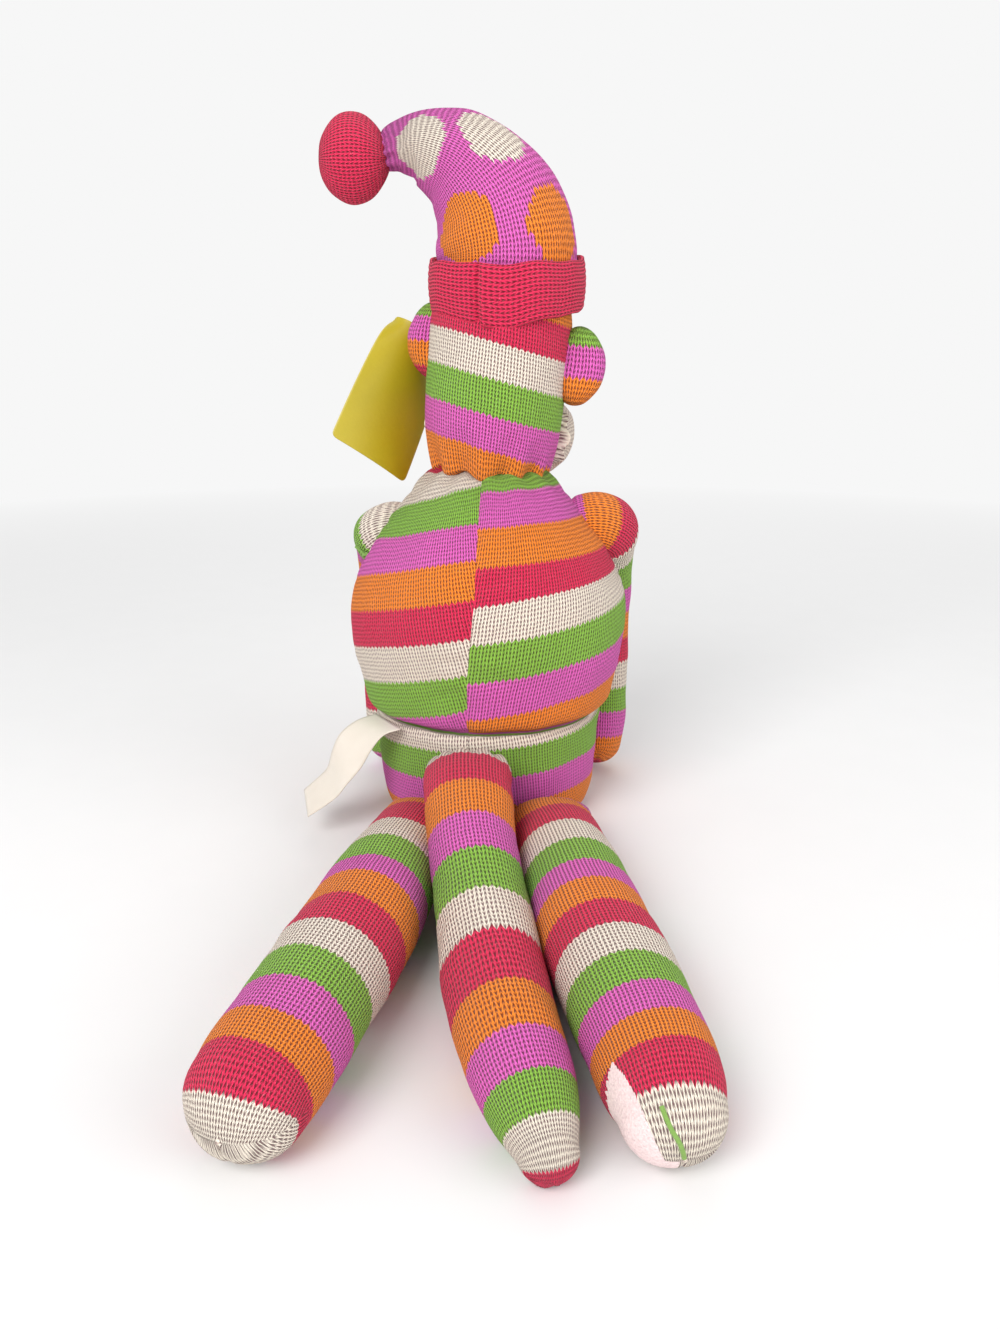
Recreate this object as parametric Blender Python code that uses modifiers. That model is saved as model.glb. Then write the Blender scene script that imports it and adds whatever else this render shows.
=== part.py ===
"""Sock monkey doll: a sitting stuffed knit toy, in metres, +Z up.

The origin is the middle of the flat under the seat. The doll faces +Y, its left side is -X,
and its legs and tail lie on the floor behind it, towards -Y.
Every stuffed piece is a knit cover, which is a thin shell open where it is sewn on,
round a stuffing that is a little smaller.
"""
import math

import bmesh
import bpy
from mathutils import Matrix, Vector

# General sizes
COVER_THICKNESS = 0.0015        # knit fabric
STUFFING_CLEARANCE = 0.0017     # between a cover and its stuffing
GAP = 0.0003                    # between pieces that touch
FLAT_DEPTH = 0.0005             # how deep a soft form is pressed flat by the floor

# Sizes: torso and seat
TORSO_HEIGHT = 0.1412           # floor to the neck seam
TORSO_HALF_WIDTH = 0.0545
TORSO_HALF_DEPTH = 0.0460
CREASE_HEIGHT = 0.0455          # seam between the body and the seat
BACK_SEAM_TOP_X = -0.0020
BACK_SEAM_LOW_X = -0.0078
# share of the height, of the half width, of the half depth
TORSO_SHARES = (
    (-0.004, 0.62, 0.60),
    (0.004, 0.755, 0.745),
    (0.085, 0.800, 0.830),
    (0.225, 0.845, 0.925),
    (0.400, 0.905, 0.985),
    (0.600, 1.020, 1.015),
    (0.760, 0.900, 0.900),
    (0.890, 0.645, 0.660),
    (1.035, 0.330, 0.385),
)

# Sizes: head
NECK_X = 0.0005
HEAD_LEAN_DEG = 5.5             # towards the doll's right
HEAD_TURN_DEG = 11.0            # the face is turned to the doll's right
HEAD_HEIGHT = 0.0745            # neck seam to the crown of the head
HEAD_RADIUS = 0.0262
# share of the height, of the radius
HEAD_SHARES = (
    (0.000, 0.800),
    (0.120, 0.930),
    (0.340, 1.000),
    (0.560, 1.000),
    (0.740, 1.005),
    (0.880, 0.930),
    (0.975, 0.620),
)
MUZZLE_HEIGHT = 0.0340
MUZZLE_HALF_WIDTH = 0.0300
MUZZLE_REACH = 0.0460           # from the head's axis to the tip of the muzzle
MUZZLE_CENTRE = 0.0165          # height of its middle over the neck seam
MUZZLE_BACK = 0.0100            # its back plane in front of the head's axis
# share of the muzzle's reach, of its half width and half height
MUZZLE_SHARES = (
    (0.000, 1.000),
    (0.250, 0.980),
    (0.550, 0.850),
    (0.820, 0.600),
    (0.970, 0.300),
)
MOUTH_ARC_DEG = 68.0            # to each side of the muzzle's tip
MOUTH_RADIUS = 0.0012
MOUTH_DROP = 0.0020             # below the middle of the muzzle
NOSTRIL_RADIUS = 0.0016
NOSTRIL_SPACING = 0.0100
NOSTRIL_RISE = 0.0065
EYE_RADIUS = 0.0055
EYE_THICKNESS = 0.0034
EYE_SPACING = 0.0205
EYE_SEAT_SHARE = 0.900          # where a button's back starts, before the head cuts it
EYE_RIM_SHARE = 0.450
EYE_DOME_SHARE = 0.700
EYE_DOME_DROP_SHARE = 0.120
EYE_HEIGHT = 0.0405             # over the neck seam
EAR_HALF_HEIGHT = 0.0140
EAR_HALF_DEPTH = 0.0065
EAR_HALF_WIDTH = 0.0095
EAR_REACH_LEFT = 0.0085         # how far an ear stands out from the head's side
EAR_REACH_RIGHT = 0.0135
EAR_LEFT_HEIGHT = 0.0460        # over the neck seam
EAR_RIGHT_HEIGHT = 0.0400

# Sizes: hat
CUFF_RADIUS = 0.0288
CUFF_HEIGHT = 0.0200
CUFF_BASE = 0.0545              # over the neck seam
CUFF_ROUND_SHARE = 0.300         # of the fold's thickness
CROWN_RADIUS = 0.0255
CROWN_STUFFING_CLEARANCE = 0.0021
CROWN_SQUEEZE = 0.0003          # the cuff's room for the crown, inside its nominal radius
CROWN_TUCK = 0.0052             # how far the crown reaches down inside the cuff
CROWN_HEIGHT = 0.0370           # from the cuff's top to the top of the bend's middle line
CROWN_SWEEP = 0.0470            # how far its tip leans to the doll's left
# share of the sweep, of the height, of the radius
CROWN_SHARES = (
    (0.000, 0.120, 1.000),
    (0.125, 0.527, 0.900),
    (0.322, 0.784, 0.810),
    (0.618, 0.973, 0.690),
    (0.820, 1.019, 0.530),
    (1.000, 0.919, 0.270),
)
POMPOM_RADIUS = 0.0134
POMPOM_HALF_LENGTH = 0.0164     # along its upright axis
POMPOM_DROP = 0.0025            # its middle below the crown's tip
POMPOM_SEAT_DEPTH = 0.0015      # how far the crown's tip would reach into it

# Sizes: arms
ARM_RADIUS = 0.0121
SHOULDER_RADIUS = 0.0118        # round end of an arm, about its joint's centre
SHOULDER_X = 0.0446
SHOULDER_Y = 0.0090
SHOULDER_HEIGHT = 0.1168
ARM_OUT_LEFT = 0.0452           # where an arm hangs, out from the middle
ARM_OUT_RIGHT = 0.0508
ARM_FORWARD_LEFT = 0.0440
ARM_FORWARD_RIGHT = 0.0400
HAND_HEIGHT = 0.0030            # lowest point of a hand
# a shoulder's rings: share of the shoulder's radius along its axis, of that radius
SHOULDER_SHARES = (
    (-0.930, 0.500),
    (-0.600, 0.880),
    (0.000, 1.000),
)
ARM_SEWN_SHARE = 0.500          # radius of the sewn-on opening, of the shoulder's radius
# share of the way out, of the way forward, of the drop to the hand, of the radius
ARM_SHARES = (
    (0.000, 0.400, 0.000, 0.850),
    (0.500, 0.800, 0.070, 0.930),
    (1.000, 1.000, 0.230, 0.980),
    (1.000, 1.020, 0.460, 0.980),
    (0.970, 0.960, 0.720, 1.000),
    (0.850, 0.860, 0.920, 0.900),
    (0.800, 0.840, 0.990, 0.520),
)
KNOT_RADIUS = 0.0019
KNOT_OUT_SHARE = 0.500          # of its direction from the middle of the shoulder
KNOT_BACK_SHARE = 0.620
KNOT_DOWN_SHARE = 0.600
KNOT_SEAT_SHARE = 0.700         # of its own radius, from its middle to the cover

# Sizes: legs
LEG_RADIUS = 0.0172
LEG_REACH_LEFT = 0.1815         # hinge to toe, straight back
LEG_REACH_RIGHT = 0.1725
LEG_SPREAD_LEFT = 0.0370        # how far the toe lies further out than the hinge
LEG_SPREAD_RIGHT = 0.0250
HIP_BEARING_DEG = 20.0          # of the seat's surface at the hip, from straight back
HIP_OFFSET = 0.0040             # hinge's middle, out along its axis from where it touches
HIP_HEIGHT = 0.0112
SEAM_RADIUS = 0.0033            # rolled seam that a limb hinges on
SEAM_HALF_LENGTH = 0.0115
SEAM_STANDOFF = 0.0003
HIP_STANDOFF = -0.0005           # less than the seam's, as the seat curves away from a hip
# share of the reach, of the spread, of the radius in width, of the radius in thickness
LEG_SHARES = (
    (0.022, 0.000, 0.800, 0.185),
    (0.058, 0.000, 0.880, 0.330),
    (0.150, 0.130, 0.930, 0.780),
    (0.300, 0.260, 0.950, 0.940),
    (0.480, 0.420, 1.010, 1.000),
    (0.660, 0.610, 0.990, 0.980),
    (0.830, 0.820, 0.930, 0.930),
    (0.945, 0.950, 0.780, 0.800),
    (0.990, 0.995, 0.480, 0.520),
)

# Sizes: tail
TAIL_RADIUS = 0.0150
TAIL_REACH = 0.1640
TAIL_SWEEP = 0.0235             # sideways, to the doll's right
TAIL_X = -0.0066
TAIL_HEIGHT = 0.0365
TAIL_SEAM_HALF_LENGTH = 0.0130
# share of the reach, of the sweep, of the drop to the floor, of the radius across, of the
# radius up and down
TAIL_SHARES = (
    (0.023, 0.000, 0.000, 0.960, 0.210),
    (0.060, 0.000, 0.010, 1.020, 0.360),
    (0.160, 0.020, 0.060, 1.000, 0.720),
    (0.300, 0.080, 0.330, 0.930, 0.880),
    (0.450, 0.220, 0.680, 0.960, 0.960),
    (0.640, 0.410, 1.000, 0.990, 0.990),
    (0.820, 0.640, 1.000, 0.920, 0.920),
    (0.945, 0.860, 1.000, 0.720, 0.740),
    (0.990, 0.960, 1.000, 0.420, 0.450),
)

# Sizes: labels
LABEL_WIDTH = 0.0190
LABEL_REACH = 0.0300            # how far its free end stands out from the waist seam
LABEL_DROP = 0.0260             # how far its free end hangs below the seam
LABEL_SWEEP = 0.0060            # how far its free end lies further forward
LABEL_THICKNESS = 0.0006
LABEL_STANDOFF = -0.0005         # its middle line from the torso's even surface
LABEL_BEARING_DEG = 51.0        # where it leaves the waist seam, from straight back
LABEL_TWIST_DEG = 50.0
# share of the reach, of the drop
LABEL_SHARES = (
    (0.000, 0.000),
    (0.180, 0.040),
    (0.340, 0.130),
    (0.480, 0.270),
    (0.610, 0.430),
    (0.740, 0.600),
    (0.870, 0.800),
    (1.000, 1.000),
)
TAG_WIDTH = 0.0345
TAG_LENGTH = 0.0560
TAG_THICKNESS = 0.0005
TAG_CORNER = 0.0030
TAG_TILT_DEG = 26.0             # the card's lean, its top towards the head
TAG_YAW_DEG = 38.0              # the card's turn about the vertical
TAG_HOLE_RADIUS = 0.0016
TAG_HOLE_INSET = 0.0045         # hole's centre from the card's top edge
TAG_STANDOFF = 0.0050           # card in front of the ear
FASTENER_RADIUS = 0.0004
FASTENER_TAIL = 0.0022          # past the card
FASTENER_BAR_RADIUS = 0.0022
FASTENER_BAR_THICKNESS = 0.0008

# Counts
TORSO_SIDES = 10
LIMB_SIDES = 6
MUZZLE_SIDES = 8
ROUND_SEGMENTS = 16
BUTTON_SEGMENTS = 14
SOFT_LEVELS = 1
MOUTH_POINTS = 11
CORNER_STEPS = 3

# colours of the fabrics and trim, linear light
RED = (0.72, 0.035, 0.105)
ORANGE = (0.93, 0.24, 0.030)
PINK = (0.74, 0.120, 0.500)
GREEN = (0.22, 0.490, 0.070)
CREAM = (0.88, 0.760, 0.640)
STUFFING_WHITE = (0.90, 0.900, 0.880)
BLACK = (0.02, 0.020, 0.022)
TAG_YELLOW = (0.65, 0.520, 0.025)
LABEL_WHITE = (0.90, 0.840, 0.750)
NYLON = (0.80, 0.800, 0.800)


# Helpers
def clear_scene():
    """Remove the objects that the scene starts with."""
    for old in list(bpy.data.objects):
        bpy.data.objects.remove(old, do_unlink=True)


def new_collection(name):
    """Make a collection and link it to the scene."""
    made = bpy.data.collections.new(name)
    bpy.context.scene.collection.children.link(made)
    return made


def fabric(name, colour, roughness=0.9, metallic=0.0):
    """A plain Principled material."""
    made = bpy.data.materials.new(name)
    made.use_nodes = True
    shader = made.node_tree.nodes["Principled BSDF"]
    shader.inputs["Base Color"].default_value = (*colour, 1.0)
    shader.inputs["Roughness"].default_value = roughness
    shader.inputs["Metallic"].default_value = metallic
    made.diffuse_color = (*colour, 1.0)
    return made


def mesh_object(name, bm, collection, material=None):
    """Turn a bmesh into a named, smooth-shaded object."""
    mesh = bpy.data.meshes.new(name)
    bmesh.ops.recalc_face_normals(bm, faces=bm.faces)
    bm.to_mesh(mesh)
    bm.free()
    mesh.shade_smooth()
    made = bpy.data.objects.new(name, mesh)
    collection.objects.link(made)
    if material:
        mesh.materials.append(material)
    return made


def soften(piece, levels=SOFT_LEVELS):
    """Round a coarse cage."""
    rounding = piece.modifiers.new("soft", "SUBSURF")
    rounding.levels = levels
    rounding.render_levels = levels


def make_shell(piece, thickness=COVER_THICKNESS):
    """Give an open surface its fabric thickness, inwards."""
    skin = piece.modifiers.new("fabric", "SOLIDIFY")
    skin.thickness = thickness
    skin.offset = -1.0


def boolean(piece, cutter, operation="DIFFERENCE"):
    """Cut a piece by a cutter, or keep what lies in it."""
    step = piece.modifiers.new(operation.lower(), "BOOLEAN")
    step.operation = operation
    step.solver = "EXACT"
    step.object = cutter


def hide_cutter(cutter):
    """Cutters are guides and are left out of the part."""
    cutter.hide_render = True
    cutter.display_type = "WIRE"


def cut_edges_sharp(piece, angle_deg=50.0):
    """Keep the rims of trim crisp."""
    piece.data.set_sharp_from_angle(angle=math.radians(angle_deg))


def ring_frame(centre, forward, side_hint):
    """Matrix whose X runs across, Y up and Z along a limb at one station."""
    along = forward.normalized()
    across = (side_hint - along * side_hint.dot(along)).normalized()
    upward = along.cross(across)
    turned = Matrix((across, upward, along)).transposed().to_4x4()
    return Matrix.Translation(centre) @ turned


def loft(name, stations, side_hint, collection, material, sides=LIMB_SIDES,
         close_start=False, close_end=True, rounded=True):
    """Coarse cage through rings. A station is centre, half width, half height.

    The rings' corners stand out by the amount that rounding the cage takes back.
    """
    swell = 1.0 / math.cos(math.pi / sides) if rounded else 1.0
    centres = [Vector(place) for place, _, _ in stations]
    bm = bmesh.new()
    previous = None
    last = len(stations) - 1
    for index, (centre, half_width, half_height) in enumerate(stations):
        ahead = centres[min(index + 1, last)] - centres[max(index - 1, 0)]
        frame = ring_frame(centres[index], ahead, side_hint)
        scale = Matrix.Diagonal((half_width * swell, half_height * swell, 1.0, 1.0))
        capped = (index == 0 and close_start) or (index == last and close_end)
        made = bmesh.ops.create_circle(bm, cap_ends=capped, segments=sides, radius=1.0,
                                       matrix=frame @ scale)
        corners = made["verts"]
        if previous:
            for here in range(sides):
                there = (here + 1) % sides
                bm.faces.new((previous[here], previous[there], corners[there], corners[here]))
        previous = corners
    piece = mesh_object(name, bm, collection, material)
    if rounded:
        soften(piece)
    return piece


def rounded_end(end, inner):
    """Where rounding the cage takes a closed end ring."""
    centre = Vector(end[0]) + (Vector(inner[0]) - Vector(end[0])) * 2 / 9
    sizes = [(6 * end[axis] + 2 * inner[axis]) / 9 for axis in (1, 2)]
    return (centre, *sizes)


def blended(stations, weights):
    """One station between several."""
    total = sum(weights)
    centre = sum((Vector(place) * weight for (place, _, _), weight in zip(stations, weights)),
                 Vector()) / total
    sizes = [sum(station[axis] * weight for station, weight in zip(stations, weights)) / total
             for axis in (1, 2)]
    return (centre, *sizes)


def stuff(name, stations, side_hint, parts, sides=LIMB_SIDES):
    """Stuffing: a plain closed form inside a cover, evened out as a rounded cage is."""
    even = [rounded_end(stations[0], stations[1])]
    for before, here, after in zip(stations, stations[1:], stations[2:]):
        if before is not stations[0]:
            even.append(blended((before, here), (1, 1)))
        even.append(blended((before, here, after), (1, 6, 1)))
    even.append(rounded_end(stations[-1], stations[-2]))
    return loft(name, even, side_hint, parts, fabric(name, STUFFING_WHITE, 0.95),
                sides=sides, close_start=True, rounded=False)


def inset_stations(stations, inset, trim_start=0.0, trim_end=0.0):
    """The same stations for a form that lies inside, its ends drawn in."""
    centres = [Vector(place) for place, _, _ in stations]
    inner = []
    last = len(stations) - 1
    for index, (_, half_width, half_height) in enumerate(stations):
        centre = centres[index].copy()
        if index == 0:
            centre += (centres[1] - centres[0]).normalized() * trim_start
        if index == last:
            centre += (centres[last - 1] - centres[last]).normalized() * trim_end
        inner.append((centre, half_width - inset, half_height - inset))
    return inner


def box(name, low, high, collection, turn=None):
    """A closed box between two corners, turned about its own middle if asked."""
    low = Vector(low)
    high = Vector(high)
    size = high - low
    place = Matrix.Translation((low + high) / 2)
    if turn is not None:
        place = place @ turn
    bm = bmesh.new()
    bmesh.ops.create_cube(bm, size=1.0, matrix=place @ Matrix.Diagonal((*size, 1.0)))
    return mesh_object(name, bm, collection)


def turned(name, profile, segments, collection, material, place):
    """Spin a closed or axis-to-axis profile of (radius, height) points about Z."""
    bm = bmesh.new()
    corners = [bm.verts.new((radius, 0, height)) for radius, height in profile]
    for first, second in zip(corners, corners[1:]):
        bm.edges.new((first, second))
    if profile[0][0] > 0:
        bm.edges.new((corners[-1], corners[0]))
    bmesh.ops.spin(bm, geom=bm.verts[:] + bm.edges[:], cent=(0, 0, 0), axis=(0, 0, 1),
                   angle=math.tau, steps=segments, use_merge=True)
    bmesh.ops.remove_doubles(bm, verts=bm.verts, dist=FASTENER_RADIUS / 10)
    piece = mesh_object(name, bm, collection, material)
    piece.matrix_world = place
    return piece


def tube(name, points, radius, collection, material):
    """Bevelled poly curve with filled caps, as a mesh."""
    data = bpy.data.curves.new(name + "_path", "CURVE")
    data.dimensions = "3D"
    data.bevel_depth = radius
    data.bevel_resolution = 1
    data.use_fill_caps = True
    spline = data.splines.new("POLY")
    spline.points.add(len(points) - 1)
    for point, place in zip(spline.points, points):
        point.co = (*place, 1.0)
    guide = bpy.data.objects.new(name + "_path", data)
    collection.objects.link(guide)
    bpy.context.view_layer.update()
    graph = bpy.context.evaluated_depsgraph_get()
    mesh = bpy.data.meshes.new_from_object(guide.evaluated_get(graph))
    bpy.data.objects.remove(guide, do_unlink=True)
    bm = bmesh.new()
    bm.from_mesh(mesh)
    bpy.data.meshes.remove(mesh)
    bmesh.ops.remove_doubles(bm, verts=bm.verts, dist=radius / 20)
    return mesh_object(name, bm, collection, material)


# Derived places
HEAD_LEAN = math.radians(HEAD_LEAN_DEG)
NECK = Vector((NECK_X, 0, TORSO_HEIGHT))
HEAD_AXIS = Vector((math.sin(HEAD_LEAN), 0, math.cos(HEAD_LEAN)))
# the head's own frame: origin at the neck seam, Z up its axis, Y towards the face
HEAD_FRAME = (Matrix.Translation(NECK) @ Matrix.Rotation(HEAD_LEAN, 4, "Y")
              @ Matrix.Rotation(-math.radians(HEAD_TURN_DEG), 4, "Z"))
HEAD_UNTURNED = Matrix.Translation(NECK) @ Matrix.Rotation(HEAD_LEAN, 4, "Y")


def torso_stations(inset=0.0):
    """Rings of the body from the seat up to the neck seam."""
    rings = []
    for height, width, depth in TORSO_SHARES:
        rings.append((Vector((NECK_X * max(height, 0), 0, TORSO_HEIGHT * height)),
                      TORSO_HALF_WIDTH * width - inset, TORSO_HALF_DEPTH * depth - inset))
    return rings


def torso_half_sizes(height):
    """Half width and half depth of the body at a height, read between its rings."""
    share = height / TORSO_HEIGHT
    for low, high in zip(TORSO_SHARES, TORSO_SHARES[1:]):
        if low[0] <= share <= high[0]:
            part = (share - low[0]) / (high[0] - low[0])
            return (TORSO_HALF_WIDTH * (low[1] + part * (high[1] - low[1])),
                    TORSO_HALF_DEPTH * (low[2] + part * (high[2] - low[2])))
    return TORSO_HALF_WIDTH, TORSO_HALF_DEPTH


def surface_point(bearing_deg, height, side):
    """Point and outward direction on the body where its surface faces a bearing.

    The bearing is counted from straight back, towards the side.
    """
    half_width, half_depth = torso_half_sizes(height)
    facing = Vector((side * math.sin(math.radians(bearing_deg)),
                     -math.cos(math.radians(bearing_deg)), 0))
    reach = math.hypot(half_width * facing.x, half_depth * facing.y)
    point = Vector((half_width ** 2 * facing.x / reach, half_depth ** 2 * facing.y / reach,
                    height))
    return point, facing


def head_stations(inset=0.0):
    """Rings of the head up its axis."""
    rings = []
    for height, radius in HEAD_SHARES:
        rings.append((NECK + HEAD_AXIS * (GAP + HEAD_HEIGHT * height),
                      HEAD_RADIUS * radius - inset, HEAD_RADIUS * radius - inset))
    return rings


def crown_stations(inset=0.0):
    """Rings of the hat's crown, up out of the cuff and over to the doll's left."""
    tucked = Vector((0, 0, CUFF_BASE + CUFF_HEIGHT - CROWN_TUCK))
    rings = [(HEAD_UNTURNED @ tucked, CROWN_RADIUS - inset, CROWN_RADIUS - inset)]
    for sweep, rise, radius in CROWN_SHARES:
        local = Vector((-CROWN_SWEEP * sweep, 0,
                        CUFF_BASE + CUFF_HEIGHT + CROWN_HEIGHT * rise))
        rings.append((HEAD_UNTURNED @ local, CROWN_RADIUS * radius - inset,
                      CROWN_RADIUS * radius - inset))
    return rings


def shoulder(side):
    """Centre of a shoulder's round end, which its joint's axis runs through, front to back."""
    return Vector((side * SHOULDER_X, SHOULDER_Y, SHOULDER_HEIGHT))


def arm_stations(side, inset=0.0):
    """Rings of one arm, from inside the shoulder forward and down to the hand."""
    out = ARM_OUT_RIGHT if side > 0 else ARM_OUT_LEFT
    forward = ARM_FORWARD_RIGHT if side > 0 else ARM_FORWARD_LEFT
    centre = shoulder(side)
    rings = []
    for along, radius in SHOULDER_SHARES:
        place = centre + Vector((0, SHOULDER_RADIUS * along, 0))
        rings.append((place, SHOULDER_RADIUS * radius - inset, SHOULDER_RADIUS * radius - inset))
    for out_share, forward_share, drop_share, radius in ARM_SHARES:
        place = Vector((side * (SHOULDER_X + (out - SHOULDER_X) * out_share),
                        SHOULDER_Y + (forward - SHOULDER_Y) * forward_share,
                        SHOULDER_HEIGHT - (SHOULDER_HEIGHT - HAND_HEIGHT) * drop_share))
        rings.append((place, ARM_RADIUS * radius - inset, ARM_RADIUS * radius - inset))
    return rings


def hip(side):
    """Centre of a hip's hinge and the direction that the seat faces there."""
    point, facing = surface_point(HIP_BEARING_DEG, HIP_HEIGHT, side)
    outwards = facing.cross(Vector((0, 0, 1))) * -side
    return point + facing * (SEAM_RADIUS + HIP_STANDOFF) + outwards * HIP_OFFSET, facing


def leg_stations(side, inset=0.0):
    """Rings of one leg, from its flat root back to the toe on the floor."""
    centre, facing = hip(side)
    reach = LEG_REACH_RIGHT if side > 0 else LEG_REACH_LEFT
    spread = LEG_SPREAD_RIGHT if side > 0 else LEG_SPREAD_LEFT
    rings = []
    for along, outward, wide, thick in LEG_SHARES:
        half_thickness = LEG_RADIUS * thick
        lying = half_thickness - FLAT_DEPTH
        height = max(HIP_HEIGHT, lying) if along < LEG_SHARES[3][0] else lying
        place = Vector((centre.x + side * spread * outward, centre.y - reach * along, height))
        if along <= LEG_SHARES[1][0]:
            place = centre + facing * (reach * along)
        rings.append((place, LEG_RADIUS * wide - inset, half_thickness - inset))
    return rings


def tail_root():
    """Centre of the tail's hinge, on the back of the seat below the waist seam."""
    half_width, half_depth = torso_half_sizes(TAIL_HEIGHT)
    back = half_depth * math.sqrt(1 - (TAIL_X / half_width) ** 2)
    return Vector((TAIL_X, -back - SEAM_RADIUS - SEAM_STANDOFF, TAIL_HEIGHT))


def tail_stations(inset=0.0):
    """Rings of the tail, from its flat root down to the floor and back."""
    centre = tail_root()
    rings = []
    for along, sideways, drop, wide, thick in TAIL_SHARES:
        half_thickness = TAIL_RADIUS * thick
        lying = half_thickness - FLAT_DEPTH
        place = Vector((centre.x + TAIL_SWEEP * sideways, centre.y - TAIL_REACH * along,
                        TAIL_HEIGHT + (lying - TAIL_HEIGHT) * drop))
        rings.append((place, TAIL_RADIUS * wide - inset, half_thickness - inset))
    return rings


def past_floor(collection):
    """Cutter: everything below the floor."""
    reach = TORSO_HEIGHT * 3
    cutter = box("floor_cutter", (-reach, -reach, -reach), (reach, reach, 0), collection)
    hide_cutter(cutter)
    return cutter


# Torso
def build_torso(parts, cutters, floor, arm_spaces):
    """Knit panels of the body and the seat, sewn at the back, the sides and the waist."""
    far = TORSO_HEIGHT * 2
    seam_top = Vector((BACK_SEAM_TOP_X, 0, TORSO_HEIGHT))
    seam_low = Vector((BACK_SEAM_LOW_X, 0, CREASE_HEIGHT))
    slant = Matrix.Rotation(math.atan2(seam_top.x - seam_low.x, seam_top.z - seam_low.z), 4, "Y")
    middle = (seam_top + seam_low) / 2

    def half_space(name, side):
        """Box that fills one side of the slanting back seam."""
        bm = bmesh.new()
        shift = Vector((side * (far + GAP) / 2, 0, 0))
        place = Matrix.Translation(middle) @ slant @ Matrix.Translation(shift)
        bmesh.ops.create_cube(bm, size=1.0,
                              matrix=place @ Matrix.Diagonal((far, far * 2, far * 2, 1.0)))
        made = mesh_object(name, bm, cutters)
        hide_cutter(made)
        return made

    above = CREASE_HEIGHT + GAP / 2
    behind = box("behind_cutter", (-far, -far, above), (far, -GAP / 2, far), cutters)
    ahead = box("ahead_cutter", (-far, GAP / 2, above), (far, far, far), cutters)
    below = box("below_cutter", (-far, -far, -far), (far, far, CREASE_HEIGHT - GAP / 2), cutters)
    for cutter in (behind, ahead, below):
        hide_cutter(cutter)
    bm = bmesh.new()
    place = HEAD_UNTURNED @ Matrix.Translation((0, 0, far / 2))
    bmesh.ops.create_cube(bm, size=far, matrix=place)
    over_neck = mesh_object("over_neck_cutter", bm, cutters)
    hide_cutter(over_neck)
    left_half = half_space("left_half_cutter", -1)
    right_half = half_space("right_half_cutter", 1)
    panels = (
        ("torso_back_left", PINK, (behind, left_half), arm_spaces[-1]),
        ("torso_back_right", ORANGE, (behind, right_half), arm_spaces[1]),
        ("torso_front", GREEN, (ahead,), arm_spaces[-1] + arm_spaces[1]),
        ("torso_seat", CREAM, (below,), ()),
    )
    for name, colour, regions, spaces in panels:
        panel = loft(name, torso_stations(), Vector((1, 0, 0)), parts, fabric(name, colour),
                     sides=TORSO_SIDES, close_start=True, close_end=False)
        make_shell(panel)
        for region in regions:
            boolean(panel, region, "INTERSECT")
        for space in spaces:
            boolean(panel, space)
        boolean(panel, floor if name == "torso_seat" else over_neck)
    inset = COVER_THICKNESS + STUFFING_CLEARANCE
    rings = inset_stations(torso_stations(), inset)
    rings[0] = (rings[0][0] + Vector((0, 0, inset)), *rings[0][1:])
    rings[1] = (rings[1][0] + Vector((0, 0, inset)), *rings[1][1:])
    stuffing = stuff("torso_stuffing", rings, Vector((1, 0, 0)), parts,
                     sides=TORSO_SIDES)
    for space in arm_spaces[-1] + arm_spaces[1] + (over_neck,):
        boolean(stuffing, space)


# Arms
def build_arm_space(side, cutters):
    """Cutters for the armhole: the shoulder's round end and the arm beside the body."""
    name = "arm_space_left" if side < 0 else "arm_space_right"
    bm = bmesh.new()
    bmesh.ops.create_uvsphere(bm, u_segments=ROUND_SEGMENTS, v_segments=ROUND_SEGMENTS // 2,
                              radius=SHOULDER_RADIUS + GAP * 2,
                              matrix=Matrix.Translation(shoulder(side)))
    ball = mesh_object(name + "_ball", bm, cutters)
    sleeve = loft(name + "_sleeve", arm_stations(side, -GAP * 2), Vector((1, 0, 0)), cutters,
                  None, close_start=True)
    hide_cutter(ball)
    hide_cutter(sleeve)
    return (ball, sleeve)


def build_arm(side, parts, cutters):
    """One arm: its cover, open where it is sewn to the body, and its stuffing."""
    name = "arm_left" if side < 0 else "arm_right"
    hint = Vector((1, 0, 0))
    cover = loft(name + "_cover", arm_stations(side), hint, parts,
                 fabric(name + "_cover", RED if side < 0 else PINK), close_start=True)
    make_shell(cover)
    bm = bmesh.new()
    opening = SHOULDER_RADIUS * ARM_SEWN_SHARE
    inwards = Matrix.Translation(shoulder(side) - Vector((side * SHOULDER_RADIUS, 0, 0)))
    bmesh.ops.create_cone(bm, cap_ends=True, segments=BUTTON_SEGMENTS, radius1=opening,
                          radius2=opening, depth=SHOULDER_RADIUS,
                          matrix=inwards @ Matrix.Rotation(math.pi / 2, 4, "Y"))
    sewn_on = mesh_object(name + "_opening", bm, cutters)
    hide_cutter(sewn_on)
    boolean(cover, sewn_on)
    inset = COVER_THICKNESS + STUFFING_CLEARANCE
    rings = inset_stations(arm_stations(side), inset, trim_start=inset, trim_end=inset)
    stuff(name + "_stuffing", rings, hint, parts)


# Legs and tail
def seam_roll(name, centre, axis, half_length, colour, parts):
    """Rolled seam that a limb swings on: a round bar along the hinge."""
    bm = bmesh.new()
    turn = Vector((0, 0, 1)).rotation_difference(axis).to_matrix().to_4x4()
    bmesh.ops.create_cone(bm, cap_ends=True, segments=ROUND_SEGMENTS, radius1=SEAM_RADIUS,
                          radius2=SEAM_RADIUS, depth=half_length * 2,
                          matrix=Matrix.Translation(centre) @ turn)
    roll = mesh_object(name, bm, parts, fabric(name, colour))
    cut_edges_sharp(roll)
    return roll


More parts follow.
